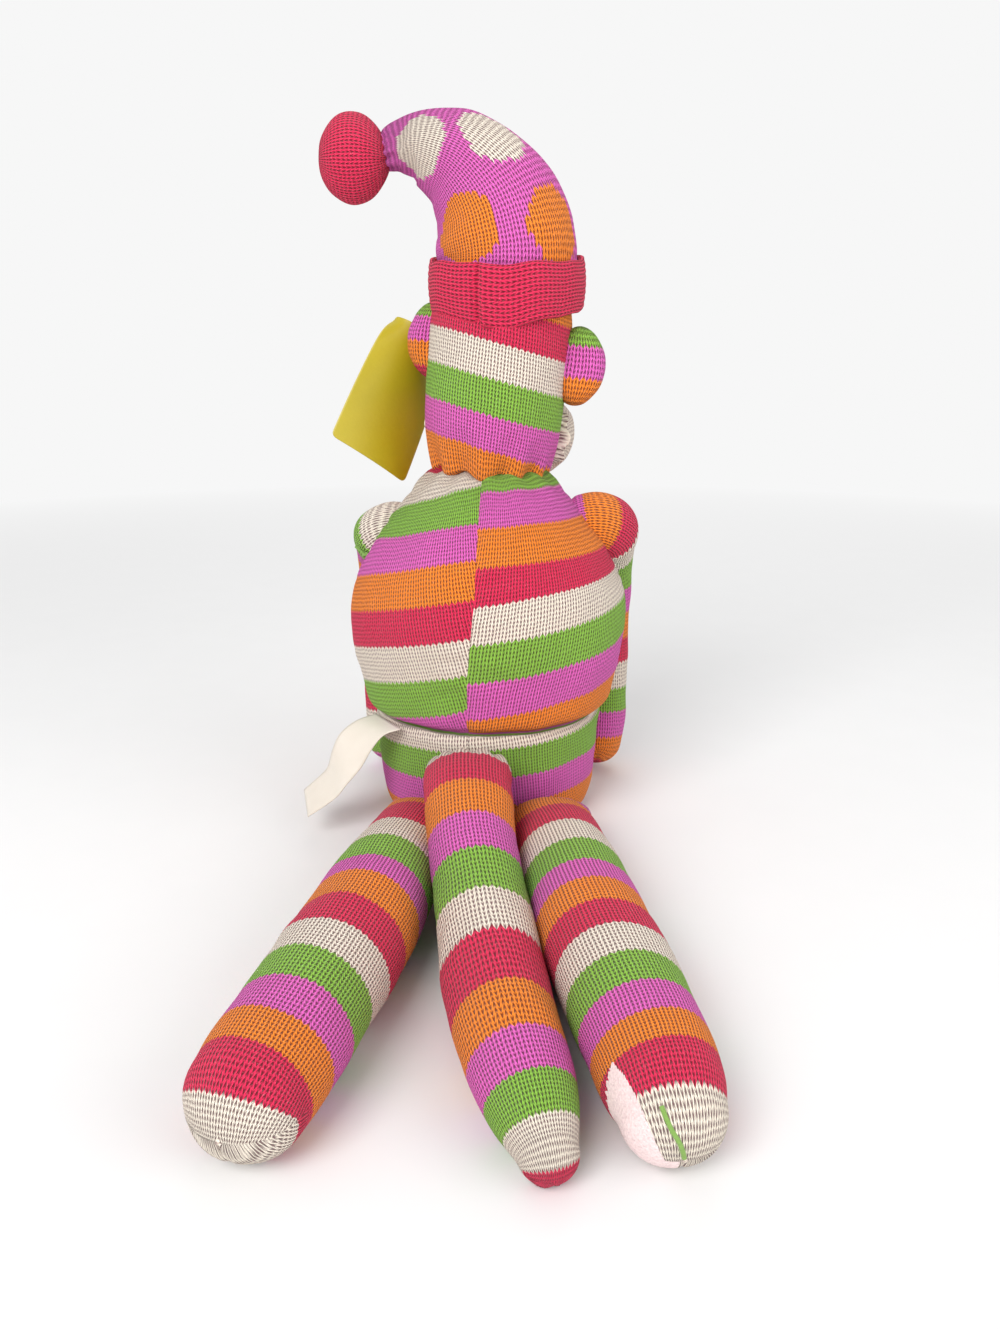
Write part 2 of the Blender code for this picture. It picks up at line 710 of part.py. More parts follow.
def build_limb(name, rings, hint, colour, parts, floor):
    """Cover, open at its flat root, and stuffing of a leg or the tail."""
    cover = loft(name + "_cover", rings, hint, parts, fabric(name + "_cover", colour))
    make_shell(cover)
    boolean(cover, floor)
    inset = COVER_THICKNESS + STUFFING_CLEARANCE
    inner = inset_stations(rings, inset, trim_end=inset)
    stuff(name + "_stuffing", inner, hint, parts)


def build_leg(side, parts, floor):
    """One leg with the rolled seam at its root."""
    name = "leg_left" if side < 0 else "leg_right"
    centre, facing = hip(side)
    across = facing.cross(Vector((0, 0, 1)))
    build_limb(name, leg_stations(side), Vector((1, 0, 0)), ORANGE if side < 0 else GREEN,
               parts, floor)
    seam_roll(name + "_seam", centre, across, SEAM_HALF_LENGTH, PINK, parts)


def build_tail(parts, floor):
    """The tail with the rolled seam at its root."""
    build_limb("tail", tail_stations(), Vector((1, 0, 0)), RED, parts, floor)
    seam_roll("tail_seam", tail_root(), Vector((1, 0, 0)), TAIL_SEAM_HALF_LENGTH, CREAM, parts)


# Head
def build_head(parts, cutters):
    """The head's cover and stuffing, and the cutter that its trim is seated by."""
    cover = loft("head_cover", head_stations(), Vector((1, 0, 0)), parts,
                 fabric("head_cover", PINK))
    make_shell(cover)
    inset = COVER_THICKNESS + STUFFING_CLEARANCE
    rings = inset_stations(head_stations(), inset, trim_end=inset)
    stuff("head_stuffing", rings, Vector((1, 0, 0)), parts)
    rings = head_stations(-GAP)
    below_neck = (rings[0][0] - HEAD_AXIS * HEAD_RADIUS, *rings[0][1:])
    space = loft("head_space", [below_neck] + rings, Vector((1, 0, 0)), cutters, None,
                 close_start=True)
    hide_cutter(space)
    return space


def muzzle_stations(inset=0.0):
    """Rings of the muzzle from its flat back to its round tip."""
    reach = MUZZLE_REACH - MUZZLE_BACK
    rings = []
    for along, size in MUZZLE_SHARES:
        local = Vector((0, MUZZLE_BACK + (reach - 2 * inset) * along, MUZZLE_CENTRE))
        rings.append((HEAD_FRAME @ local, MUZZLE_HALF_WIDTH * size - inset,
                      MUZZLE_HEIGHT / 2 * size - inset))
    return rings


def build_face(parts, cutters, head_space):
    """Muzzle, mouth, nostrils and eyes. The photograph shows the doll from behind."""
    hint = HEAD_FRAME.to_3x3() @ Vector((1, 0, 0))
    muzzle = loft("muzzle", muzzle_stations(), hint, parts, fabric("muzzle", CREAM),
                  sides=MUZZLE_SIDES, close_start=True)
    boolean(muzzle, head_space)
    space = loft("muzzle_space", muzzle_stations(-GAP), hint, cutters, None,
                 sides=MUZZLE_SIDES, close_start=True)
    hide_cutter(space)
    reach = MUZZLE_REACH - MUZZLE_BACK
    points = []
    for step in range(MOUTH_POINTS):
        angle = math.radians(MOUTH_ARC_DEG) * (step / (MOUTH_POINTS - 1) * 2 - 1)
        local = Vector((MUZZLE_HALF_WIDTH * math.sin(angle),
                        MUZZLE_BACK + reach * math.cos(angle),
                        MUZZLE_CENTRE - MOUTH_DROP))
        points.append(HEAD_FRAME @ local)
    mouth = tube("mouth", points, MOUTH_RADIUS, parts, fabric("mouth", RED))
    boolean(mouth, space)
    for side, label in ((-1, "left"), (1, "right")):
        rise = MUZZLE_CENTRE + NOSTRIL_RISE
        depth = reach * math.sqrt(1 - (NOSTRIL_RISE / (MUZZLE_HEIGHT / 2)) ** 2
                                  - (NOSTRIL_SPACING / 2 / MUZZLE_HALF_WIDTH) ** 2)
        bm = bmesh.new()
        place = HEAD_FRAME @ Vector((side * NOSTRIL_SPACING / 2, MUZZLE_BACK + depth, rise))
        bmesh.ops.create_uvsphere(bm, u_segments=BUTTON_SEGMENTS // 2,
                                  v_segments=BUTTON_SEGMENTS // 2, radius=NOSTRIL_RADIUS,
                                  matrix=Matrix.Translation(place))
        nostril = mesh_object("nostril_" + label, bm, parts, fabric("nostril_" + label, BLACK))
        boolean(nostril, space)
        bearing = math.asin(side * EYE_SPACING / 2 / HEAD_RADIUS)
        facing = Matrix.Rotation(-bearing, 4, "Z") @ Matrix.Rotation(-math.pi / 2, 4, "X")
        seat = HEAD_FRAME @ Matrix.Translation((0, 0, EYE_HEIGHT)) @ facing
        base = HEAD_RADIUS * EYE_SEAT_SHARE
        top = HEAD_RADIUS + EYE_THICKNESS
        profile = ((0, base), (EYE_RADIUS, base), (EYE_RADIUS, top - EYE_THICKNESS * EYE_RIM_SHARE),
                   (EYE_RADIUS * EYE_DOME_SHARE, top - EYE_THICKNESS * EYE_DOME_DROP_SHARE),
                   (0, top))
        eye = turned("eye_" + label, profile, BUTTON_SEGMENTS, parts,
                     fabric("eye_" + label, BLACK, 0.25), seat)
        boolean(eye, head_space)
        cut_edges_sharp(eye)


def ear_centre(side):
    """Middle of an ear, beside the head."""
    reach = EAR_REACH_RIGHT if side > 0 else EAR_REACH_LEFT
    height = EAR_RIGHT_HEIGHT if side > 0 else EAR_LEFT_HEIGHT
    return HEAD_FRAME @ Vector((side * (HEAD_RADIUS + reach - EAR_HALF_WIDTH), 0, height))


def ear_form(name, side, swell, collection, material=None):
    """Oval pad of one ear, or the room that it takes."""
    bm = bmesh.new()
    size = Matrix.Diagonal((EAR_HALF_WIDTH + swell, EAR_HALF_DEPTH + swell,
                            EAR_HALF_HEIGHT + swell, 1.0))
    turn = HEAD_FRAME.to_3x3().to_4x4()
    place = Matrix.Translation(ear_centre(side)) @ turn @ size
    bmesh.ops.create_uvsphere(bm, u_segments=ROUND_SEGMENTS, v_segments=ROUND_SEGMENTS // 2,
                              radius=1.0, matrix=place)
    return mesh_object(name, bm, collection, material)


def build_ears(parts, cutters, head_space):
    """Stuffed oval ears, sewn to the head, their tops under the hat's cuff."""
    bm = bmesh.new()
    bmesh.ops.create_cone(bm, cap_ends=True, segments=ROUND_SEGMENTS * 2,
                          radius1=CUFF_RADIUS + GAP, radius2=CUFF_RADIUS + GAP,
                          depth=CUFF_HEIGHT * 2,
                          matrix=HEAD_UNTURNED @ Matrix.Translation(
                              (0, 0, CUFF_BASE - GAP + CUFF_HEIGHT)))
    under_cuff = mesh_object("cuff_space", bm, cutters)
    hide_cutter(under_cuff)
    for side, label, colour in ((-1, "left", GREEN), (1, "right", PINK)):
        ear = ear_form("ear_" + label, side, 0, parts, fabric("ear_" + label, colour))
        boolean(ear, head_space)
        boolean(ear, under_cuff)


# Hat
def build_hat(parts, cutters):
    """Folded cuff, crown with its stuffing, and the pompom at its tip."""
    inner_low = HEAD_RADIUS * HEAD_SHARES[4][1] + GAP
    inner_high = CROWN_RADIUS - CROWN_SQUEEZE
    tuck = CUFF_HEIGHT - CROWN_TUCK - GAP
    rounding = (CUFF_RADIUS - inner_high) * CUFF_ROUND_SHARE
    profile = (
        (inner_low, rounding),
        (inner_low, tuck - rounding),
        (inner_high, tuck),
        (inner_high, CUFF_HEIGHT - rounding),
        (inner_high + rounding, CUFF_HEIGHT),
        (CUFF_RADIUS - rounding, CUFF_HEIGHT),
        (CUFF_RADIUS, CUFF_HEIGHT - rounding),
        (CUFF_RADIUS, rounding),
        (CUFF_RADIUS - rounding, 0),
        (inner_low + rounding / 2, 0),
    )
    place = HEAD_UNTURNED @ Matrix.Translation((0, 0, CUFF_BASE))
    cuff = turned("hat_cuff", profile, ROUND_SEGMENTS + BUTTON_SEGMENTS // 2, parts,
                  fabric("hat_cuff", RED), place)
    cut_edges_sharp(cuff)
    crown = loft("hat_crown", crown_stations(), Vector((0, 1, 0)), parts,
                 fabric("hat_crown", PINK))
    make_shell(crown)
    inset = COVER_THICKNESS + CROWN_STUFFING_CLEARANCE
    rings = inset_stations(crown_stations(), inset, trim_end=inset)
    stuffing = stuff("hat_stuffing", rings, Vector((0, 1, 0)), parts)
    bm = bmesh.new()
    over_head = Matrix.Translation((0, 0, CUFF_BASE + GAP * 2))
    bmesh.ops.create_cone(bm, cap_ends=True, segments=ROUND_SEGMENTS, radius1=CUFF_RADIUS,
                          radius2=CUFF_RADIUS, depth=CUFF_HEIGHT * 2,
                          matrix=HEAD_UNTURNED @ over_head)
    head_top = mesh_object("head_top_space", bm, cutters)
    hide_cutter(head_top)
    boolean(stuffing, head_top)
    pompom_form("hat_pompom", 0, parts, fabric("hat_pompom", RED))
    room = pompom_form("pompom_space", GAP * 2, cutters)
    hide_cutter(room)
    boolean(crown, room)
    boolean(stuffing, room)


def pompom_form(name, swell, collection, material=None):
    """Egg-shaped pompom, or the room that it takes."""
    bm = bmesh.new()
    size = Matrix.Diagonal((POMPOM_RADIUS + swell, POMPOM_RADIUS + swell,
                            POMPOM_HALF_LENGTH + swell, 1.0))
    bmesh.ops.create_uvsphere(bm, u_segments=ROUND_SEGMENTS, v_segments=ROUND_SEGMENTS // 2 + 2,
                              radius=1.0, matrix=Matrix.Translation(pompom_centre()) @ size)
    return mesh_object(name, bm, collection, material)


def pompom_centre():
    """Middle of the pompom, beyond and a little below the crown's tip."""
    tip = crown_stations()[-1][0]
    return tip + Vector((POMPOM_SEAT_DEPTH - POMPOM_RADIUS, 0, -POMPOM_DROP))


# Labels
def ribbon(name, centres, across, width, thickness, parts, material):
    """Woven ribbon along a path, each row of it lying along its own direction."""
    bm = bmesh.new()
    rows = len(centres)
    bmesh.ops.create_grid(bm, x_segments=2, y_segments=rows - 1, size=1.0)
    bm.verts.ensure_lookup_table()
    for corner in bm.verts:
        row = round((corner.co.y + 1) / 2 * (rows - 1))
        corner.co = centres[row] + across[row] * (corner.co.x * width / 2)
    piece = mesh_object(name, bm, parts, material)
    skin = piece.modifiers.new("fabric", "SOLIDIFY")
    skin.thickness = thickness
    skin.offset = 0.0
    return piece


def build_care_label(parts):
    """Bare ribbon label sewn into the waist seam, falling outwards with a twist."""
    base, facing = surface_point(LABEL_BEARING_DEG, CREASE_HEIGHT, -1)
    forward = facing.cross(Vector((0, 0, 1)))
    base = base + facing * LABEL_STANDOFF
    centres = []
    across = []
    for index, (out, drop) in enumerate(LABEL_SHARES):
        centres.append(base + facing * (LABEL_REACH * out) - Vector((0, 0, LABEL_DROP * drop))
                       + forward * (LABEL_SWEEP * out))
        part = index / (len(LABEL_SHARES) - 1)
        turn = Matrix.Rotation(math.radians(LABEL_TWIST_DEG) * part, 3, facing)
        across.append(turn @ forward)
    ribbon("care_label", centres, across, LABEL_WIDTH, LABEL_THICKNESS, parts,
           fabric("care_label", LABEL_WHITE, 0.7))


def tag_frame():
    """Frame of the hang tag at its hole: X across the card, Y through it, Z up the card."""
    yaw = Matrix.Rotation(math.radians(TAG_YAW_DEG), 4, "Z")
    through = yaw.to_3x3() @ Vector((0, 1, 0))
    hole = ear_centre(-1) + through * (EAR_HALF_DEPTH + TAG_STANDOFF)
    tilt = Matrix.Rotation(math.radians(TAG_TILT_DEG), 4, "Y")
    return Matrix.Translation(hole) @ yaw @ tilt


def tag_pivot():
    """Middle of the nylon, at the top of the card's hole."""
    return tag_frame() @ Vector((0, 0, TAG_HOLE_RADIUS - FASTENER_RADIUS - GAP))


def build_hang_tag(parts, cutters):
    """Bare card on a nylon fastener that is pushed through the left ear."""
    frame = tag_frame()
    outline = bpy.data.curves.new("tag_outline", "CURVE")
    outline.dimensions = "2D"
    outline.fill_mode = "BOTH"
    outline.extrude = TAG_THICKNESS / 2
    top = TAG_HOLE_INSET
    corners = []
    quarter = math.pi / 2
    for turns, side_x, side_z in ((2, -1, 0), (3, 1, 0), (0, 1, 1), (1, -1, 1)):
        corner_x = side_x * (TAG_WIDTH / 2 - TAG_CORNER)
        corner_z = top - TAG_CORNER if side_z else top - TAG_LENGTH + TAG_CORNER
        for step in range(CORNER_STEPS + 1):
            angle = quarter * (turns + step / CORNER_STEPS)
            corners.append((corner_x + TAG_CORNER * math.cos(angle),
                            corner_z + TAG_CORNER * math.sin(angle)))
    holes = []
    for step in range(BUTTON_SEGMENTS):
        angle = -math.tau * step / BUTTON_SEGMENTS
        holes.append((TAG_HOLE_RADIUS * math.cos(angle), TAG_HOLE_RADIUS * math.sin(angle)))
    for points in (corners, holes):
        spline = outline.splines.new("POLY")
        spline.points.add(len(points) - 1)
        for point, place in zip(spline.points, points):
            point.co = (*place, 0, 1)
        spline.use_cyclic_u = True
    guide = bpy.data.objects.new("tag_outline", outline)
    parts.objects.link(guide)
    bpy.context.view_layer.update()
    graph = bpy.context.evaluated_depsgraph_get()
    mesh = bpy.data.meshes.new_from_object(guide.evaluated_get(graph))
    bpy.data.objects.remove(guide, do_unlink=True)
    bm = bmesh.new()
    bm.from_mesh(mesh)
    bpy.data.meshes.remove(mesh)
    bmesh.ops.remove_doubles(bm, verts=bm.verts, dist=TAG_THICKNESS / 50)
    bmesh.ops.transform(bm, matrix=frame @ Matrix.Rotation(math.pi / 2, 4, "X"), verts=bm.verts)
    tag = mesh_object("hang_tag", bm, parts, fabric("hang_tag", TAG_YELLOW, 0.5))
    cut_edges_sharp(tag)

    ear_face = -TAG_STANDOFF - EAR_HALF_DEPTH / 2
    end = FASTENER_TAIL
    profile = (
        (0, ear_face), (FASTENER_RADIUS, ear_face), (FASTENER_RADIUS, end),
        (FASTENER_BAR_RADIUS, end), (FASTENER_BAR_RADIUS, end + FASTENER_BAR_THICKNESS),
        (0, end + FASTENER_BAR_THICKNESS),
    )
    turn = Matrix.Rotation(-math.pi / 2, 4, "X")
    place = Matrix.Translation(tag_pivot()) @ frame.to_3x3().to_4x4() @ turn
    fastener = turned("tag_fastener", profile, BUTTON_SEGMENTS // 2, parts,
                      fabric("tag_fastener", NYLON, 0.3), place)
    cut_edges_sharp(fastener)
    ear_space = ear_form("ear_space", -1, GAP, cutters)
    hide_cutter(ear_space)
    boolean(fastener, ear_space)


def build_knot(parts, sleeve):
    """Yarn knot that closes the left arm's seam at the back of the shoulder."""
    facing = Vector((-KNOT_OUT_SHARE, -KNOT_BACK_SHARE, -KNOT_DOWN_SHARE)).normalized()
    bm = bmesh.new()
    place = shoulder(-1) + facing * (SHOULDER_RADIUS + KNOT_RADIUS * KNOT_SEAT_SHARE)
    bmesh.ops.create_icosphere(bm, subdivisions=2, radius=KNOT_RADIUS,
                               matrix=Matrix.Translation(place))
    knot = mesh_object("arm_left_knot", bm, parts, fabric("arm_left_knot", GREEN))
    boolean(knot, sleeve)


def joint_places():
    """A point on each joint's axis, with the start of the names of the pieces it moves."""
    neck = Vector(NECK)
    label = surface_point(LABEL_BEARING_DEG, CREASE_HEIGHT, -1)[0]
    places = [
        (neck, ("head_", "muzzle", "mouth", "nostril", "eye", "ear", "tag_f", "hat_")),
        (pompom_centre(), ("hat_pompom",)),
        (tag_pivot(), ("hang_tag",)),
        (label, ("care_label",)),
        (tail_root(), ("tail",)),
    ]
    for side, word in ((-1, "left"), (1, "right")):
        places.append((shoulder(side), ("arm_" + word,)))
        places.append((hip(side)[0], ("leg_" + word,)))
    return places


def put_origins(parts):
    """Moves each moving piece's origin to its joint's axis; its shape stays in place."""
    bpy.context.view_layer.update()
    for point, starts in joint_places():
        for piece in parts.objects:
            if piece.name.startswith(starts):
                piece.data.transform(Matrix.Translation(-point) @ piece.matrix_world)
                piece.matrix_world = Matrix.Translation(point)


def main():
    """Build every piece."""
    clear_scene()
    parts = new_collection("sock_monkey_doll")
    cutters = new_collection("cutters")
    floor = past_floor(cutters)
    arm_spaces = {side: build_arm_space(side, cutters) for side in (-1, 1)}
    build_torso(parts, cutters, floor, arm_spaces)
    head_space = build_head(parts, cutters)
    build_face(parts, cutters, head_space)
    build_ears(parts, cutters, head_space)
    build_hat(parts, cutters)
    for side in (-1, 1):
        build_arm(side, parts, cutters)
        build_leg(side, parts, floor)
    build_tail(parts, floor)
    build_knot(parts, arm_spaces[-1][1])
    build_care_label(parts)
    build_hang_tag(parts, cutters)
    put_origins(parts)
    bpy.context.view_layer.update()


main()
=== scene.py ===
"""Striped knitted sock monkey doll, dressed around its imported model."""
import math

import bpy
import numpy as np
from bpy.props import FloatProperty, FloatVectorProperty, PointerProperty
from mathutils import Matrix, Vector, noise


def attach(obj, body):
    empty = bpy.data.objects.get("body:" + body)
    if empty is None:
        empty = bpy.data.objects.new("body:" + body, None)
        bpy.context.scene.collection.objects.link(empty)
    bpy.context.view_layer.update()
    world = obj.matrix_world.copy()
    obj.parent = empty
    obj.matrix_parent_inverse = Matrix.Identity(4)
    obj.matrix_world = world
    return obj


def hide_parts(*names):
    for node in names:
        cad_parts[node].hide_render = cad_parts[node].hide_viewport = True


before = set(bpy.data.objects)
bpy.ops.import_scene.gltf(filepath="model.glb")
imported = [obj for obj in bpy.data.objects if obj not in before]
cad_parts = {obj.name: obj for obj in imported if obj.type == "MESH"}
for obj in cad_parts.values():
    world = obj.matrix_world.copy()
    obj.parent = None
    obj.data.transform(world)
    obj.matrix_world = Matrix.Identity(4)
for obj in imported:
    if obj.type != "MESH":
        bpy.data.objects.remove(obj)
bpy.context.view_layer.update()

bl_info = {
    "name": "Knitted sock monkey doll",
    "version": (1, 0, 0),
    "blender": (4, 5, 0),
    "location": "View3D > Sidebar > Doll",
    "description": "Stuffed knitted covers, hat, labels and trim of a striped sock monkey doll",
    "category": "Object",
}

# Stripes repeat in this order from the top down
STRIPES = ("cream", "green", "orchid", "orange", "raspberry")

# Rings of each stuffed form: middle x, y, z, half width, half height
TORSO = (
    (0.0000, 0, 0.0002, 0.0340, 0.0280), (0.0000, 0, 0.0030, 0.0402, 0.0345),
    (0.0000, 0, 0.0120, 0.0434, 0.0384), (0.0000, 0, 0.0260, 0.0448, 0.0408),
    (0.0001, 0, 0.0400, 0.0458, 0.0426), (0.0002, 0, 0.0540, 0.0500, 0.0452),
    (0.0003, 0, 0.0700, 0.0543, 0.0466), (0.0003, 0, 0.0850, 0.0555, 0.0468),
    (0.0004, 0, 0.0980, 0.0530, 0.0445), (0.0004, 0, 0.1100, 0.0476, 0.0402),
    (0.0004, 0, 0.1220, 0.0392, 0.0338), (0.0005, 0, 0.1330, 0.0296, 0.0272),
    (0.0005, 0, 0.1400, 0.0235, 0.0225),
)
HEAD = (
    (0.0005, 0, 0.1412, 0.0208, 0.0208), (0.0014, 0, 0.1500, 0.0248, 0.0248),
    (0.0030, 0, 0.1667, 0.0263, 0.0263), (0.0045, 0, 0.1830, 0.0263, 0.0263),
    (0.0058, 0, 0.1964, 0.0258, 0.0258), (0.0068, 0, 0.2068, 0.0238, 0.0238),
)
CROWN = (
    (0.0071, 0, 0.2102, 0.0250, 0.0250), (0.0075, 0, 0.2181, 0.0252, 0.0252),
    (0.0062, 0, 0.2262, 0.0252, 0.0250), (0.0032, 0, 0.2347, 0.0236, 0.0230),
    (-0.0024, 0, 0.2430, 0.0207, 0.0203), (-0.0106, 0, 0.2500, 0.0169, 0.0169),
    (-0.0216, 0, 0.2543, 0.0128, 0.0128), (-0.0305, 0, 0.2548, 0.0084, 0.0084),
    (-0.0362, 0, 0.2536, 0.0060, 0.0060),
)
ARM_LEFT = (
    (-0.0340, 0.0040, 0.1168, 0.0098, 0.0098), (-0.0385, 0.0050, 0.1164, 0.0108, 0.0108),
    (-0.0428, 0.0110, 0.1128, 0.0117, 0.0117), (-0.0442, 0.0240, 0.1075, 0.0116, 0.0116),
    (-0.0450, 0.0350, 0.0985, 0.0116, 0.0116), (-0.0452, 0.0425, 0.0850, 0.0119, 0.0119),
    (-0.0452, 0.0443, 0.0645, 0.0120, 0.0120), (-0.0452, 0.0426, 0.0349, 0.0121, 0.0121),
    (-0.0451, 0.0394, 0.0140, 0.0112, 0.0112),
)
ARM_RIGHT = (
    (0.0385, 0.0040, 0.1185, 0.0112, 0.0112), (0.0440, 0.0045, 0.1188, 0.0120, 0.0120),
    (0.0492, 0.0110, 0.1150, 0.0120, 0.0120), (0.0500, 0.0225, 0.1085, 0.0116, 0.0116),
    (0.0505, 0.0325, 0.0985, 0.0116, 0.0116), (0.0508, 0.0390, 0.0850, 0.0119, 0.0119),
    (0.0508, 0.0402, 0.0645, 0.0120, 0.0120), (0.0506, 0.0388, 0.0349, 0.0121, 0.0121),
    (0.0499, 0.0360, 0.0140, 0.0112, 0.0112),
)
LEG_LEFT = (
    (-0.0222, -0.0375, 0.0122, 0.0128, 0.0042), (-0.0250, -0.0461, 0.0125, 0.0152, 0.0078),
    (-0.0262, -0.0635, 0.0138, 0.0162, 0.0136), (-0.0311, -0.0907, 0.0160, 0.0165, 0.0160),
    (-0.0370, -0.1234, 0.0170, 0.0174, 0.0170), (-0.0440, -0.1560, 0.0169, 0.0171, 0.0169),
    (-0.0515, -0.1869, 0.0163, 0.0164, 0.0163), (-0.0549, -0.2000, 0.0154, 0.0152, 0.0153),
)
LEG_RIGHT = (
    (0.0222, -0.0375, 0.0122, 0.0128, 0.0042), (0.0249, -0.0457, 0.0125, 0.0152, 0.0078),
    (0.0247, -0.0621, 0.0138, 0.0162, 0.0136), (0.0279, -0.0880, 0.0160, 0.0165, 0.0160),
    (0.0319, -0.1190, 0.0170, 0.0174, 0.0170), (0.0367, -0.1501, 0.0169, 0.0171, 0.0169),
    (0.0419, -0.1794, 0.0160, 0.0163, 0.0160), (0.0449, -0.1965, 0.0143, 0.0146, 0.0142),
    (0.0457, -0.2020, 0.0128, 0.0128, 0.0126),
)
TAIL = (
    (-0.0066, -0.0470, 0.0368, 0.0128, 0.0050), (-0.0066, -0.0561, 0.0362, 0.0155, 0.0086),
    (-0.0061, -0.0725, 0.0340, 0.0153, 0.0125), (-0.0047, -0.0954, 0.0282, 0.0147, 0.0138),
    (-0.0014, -0.1200, 0.0211, 0.0146, 0.0146), (0.0030, -0.1512, 0.0150, 0.0148, 0.0148),
    (0.0084, -0.1807, 0.0136, 0.0138, 0.0135), (0.0131, -0.1990, 0.0112, 0.0114, 0.0110),
    (0.0158, -0.2090, 0.0078, 0.0073, 0.0074),
)
MUZZLE = (
    (0.0036, 0.0080, 0.1552, 0.0296, 0.0192), (0.0057, 0.0187, 0.1551, 0.0294, 0.0189),
    (0.0076, 0.0285, 0.1552, 0.0262, 0.0165), (0.0089, 0.0348, 0.1555, 0.0216, 0.0134),
)
# Where the face, the hat's cuff and the swing tag are turned to
HEAD_TURNED = Matrix(((0.9771, 0.1899, 0.0958, 0.0005), (-0.1908, 0.9816, 0.0, 0.0),
                      (-0.0941, -0.0183, 0.9954, 0.1412), (0, 0, 0, 1)))
CUFF_PLACE = Matrix(((1, 0, -0.010, 0.0081), (0, 0.990, -0.139, 0.0088), (0.010, 0.139, 0.990, 0.1440),
                     (0, 0, 0, 1)))
TAG_PLACE = Matrix(((0.7083, -0.6157, 0.3454, -0.0268), (0.5534, 0.7880, 0.2699, 0.0139),
                    (-0.4384, 0, 0.8988, 0.1894), (0, 0, 0, 1)))

# Stripe edges along a limb: metres from its root, stripes from the one at the root
LEG_EDGES_LEFT = ((0, -2.6), (0.0480, 0), (0.0640, 1), (0.0787, 2), (0.0886, 3), (0.1024, 4),
                  (0.1160, 5), (0.1290, 6), (0.1417, 7), (0.1537, 8), (0.1634, 9),
                  (0.1738, 10), (0.1850, 10.95))
LEG_EDGES_RIGHT = ((0, -2.6), (0.0509, 0), (0.0664, 1), (0.0810, 2), (0.0920, 3),
                   (0.1044, 4), (0.1167, 5), (0.1290, 6), (0.1407, 7), (0.1504, 8),
                   (0.1580, 9), (0.1664, 10), (0.1820, 10.95))
TAIL_EDGES = ((0, 0.2), (0.0095, 1), (0.0315, 2), (0.0490, 3), (0.0652, 4), (0.0847, 5),
              (0.1026, 6), (0.1260, 7), (0.1416, 8), (0.1535, 9), (0.1620, 10),
              (0.1712, 11), (0.1850, 11.95))
ARM_EDGES_LEFT = ((0, 4.6), (0.0150, 6), (0.0265, 7), (0.0400, 8), (0.0510, 9), (0.0620, 10),
                  (0.0730, 11), (0.0840, 12), (0.0950, 13), (0.1070, 14), (0.1190, 15),
                  (0.1310, 16), (0.1700, 19))
ARM_EDGES_RIGHT = ((0, 2.0), (0.0080, 3), (0.0138, 4), (0.0205, 5), (0.0390, 6), (0.0600, 7),
                   (0.0735, 8), (0.0855, 9), (0.0960, 10), (0.1080, 11), (0.1190, 12),
                   (0.1310, 13), (0.1430, 14), (0.1700, 14.9))

TOE_STITCH = ((0.0420, -0.2105, 0.0200), (0.0432, -0.2128, 0.0172), (0.0456, -0.2142, 0.0142),
              (0.0464, -0.2150, 0.0106))

# Two edges of the sewn label, from the waist seam to its free end
LABEL_EDGES = (
    ((-0.0452, -0.0167, 0.0450), (-0.0334, -0.0345, 0.0450)),
    ((-0.0530, -0.0205, 0.0432), (-0.0402, -0.0345, 0.0425)),
    ((-0.0592, -0.0232, 0.0386), (-0.0452, -0.0355, 0.0366)),
    ((-0.0626, -0.0232, 0.0312), (-0.0492, -0.0362, 0.0298)),
    ((-0.0648, -0.0228, 0.0242), (-0.0548, -0.0388, 0.0236)),
    ((-0.0698, -0.0218, 0.0186), (-0.0600, -0.0382, 0.0172)),
    ((-0.0752, -0.0212, 0.0136), (-0.0706, -0.0392, 0.0100)),
)

# Heights of the waist seam and of the floor under limbs, and size of a stitch's row
WAIST = 0.0455
LIMB_FLOOR = 0.0003
COURSE = 0.0016
STRIPE_ROWS = 9
DOME_ROWS = 8
BACKDROP = (0.93, 0.93, 0.93, 1)


# Sizes and colours that a user may change
def colour_property(name, description, default):
    """A colour swatch."""
    return FloatVectorProperty(name=name, description=description, subtype="COLOR", size=3,
                               min=0, max=1, default=default)


def length_property(name, description, default):
    """A length in metres."""
    return FloatProperty(name=name, description=description, unit="LENGTH", default=default,
                         precision=5)


class DollKnit(bpy.types.PropertyGroup):
    """Stitch sizes and yarn colours."""
    wale: length_property("Wale", "Width of one column of stitches", 0.0022)
    relief: length_property("Relief", "Depth of the knit's stitches", 0.0008)
    slant: FloatProperty(name="Slant", description="Courses that a stitch's legs rise by",
                         default=1.5)
    teeth: FloatProperty(name="Teeth", description="Courses that a colour change steps by",
                         default=0.95)
    cream: colour_property("Cream", "Cream yarn", (0.93, 0.830, 0.700))
    green: colour_property("Green", "Green yarn", (0.275, 0.550, 0.065))
    orchid: colour_property("Orchid", "Orchid pink yarn", (0.83, 0.140, 0.550))
    orange: colour_property("Orange", "Orange yarn", (1.0, 0.270, 0.024))
    raspberry: colour_property("Raspberry", "Raspberry red yarn", (0.80, 0.026, 0.098))


class DollStuffing(bpy.types.PropertyGroup):
    """How full the covers are."""
    lump: length_property("Lump", "Height of the stuffing's lumps", 0.0007)
    lump_size: length_property("Lump size", "Width of the stuffing's lumps", 0.020)
    seam_depth: length_property("Seam depth", "How deep a seam is drawn in", 0.0012)
    crease_depth: length_property("Crease depth", "How deep the waist is drawn in", 0.0030)
    puff: length_property("Puff", "How far pressed cloth may swell", 0.0016)
    pressure: FloatProperty(name="Pressure", description="Pressure inside the covers",
                            default=4.0)


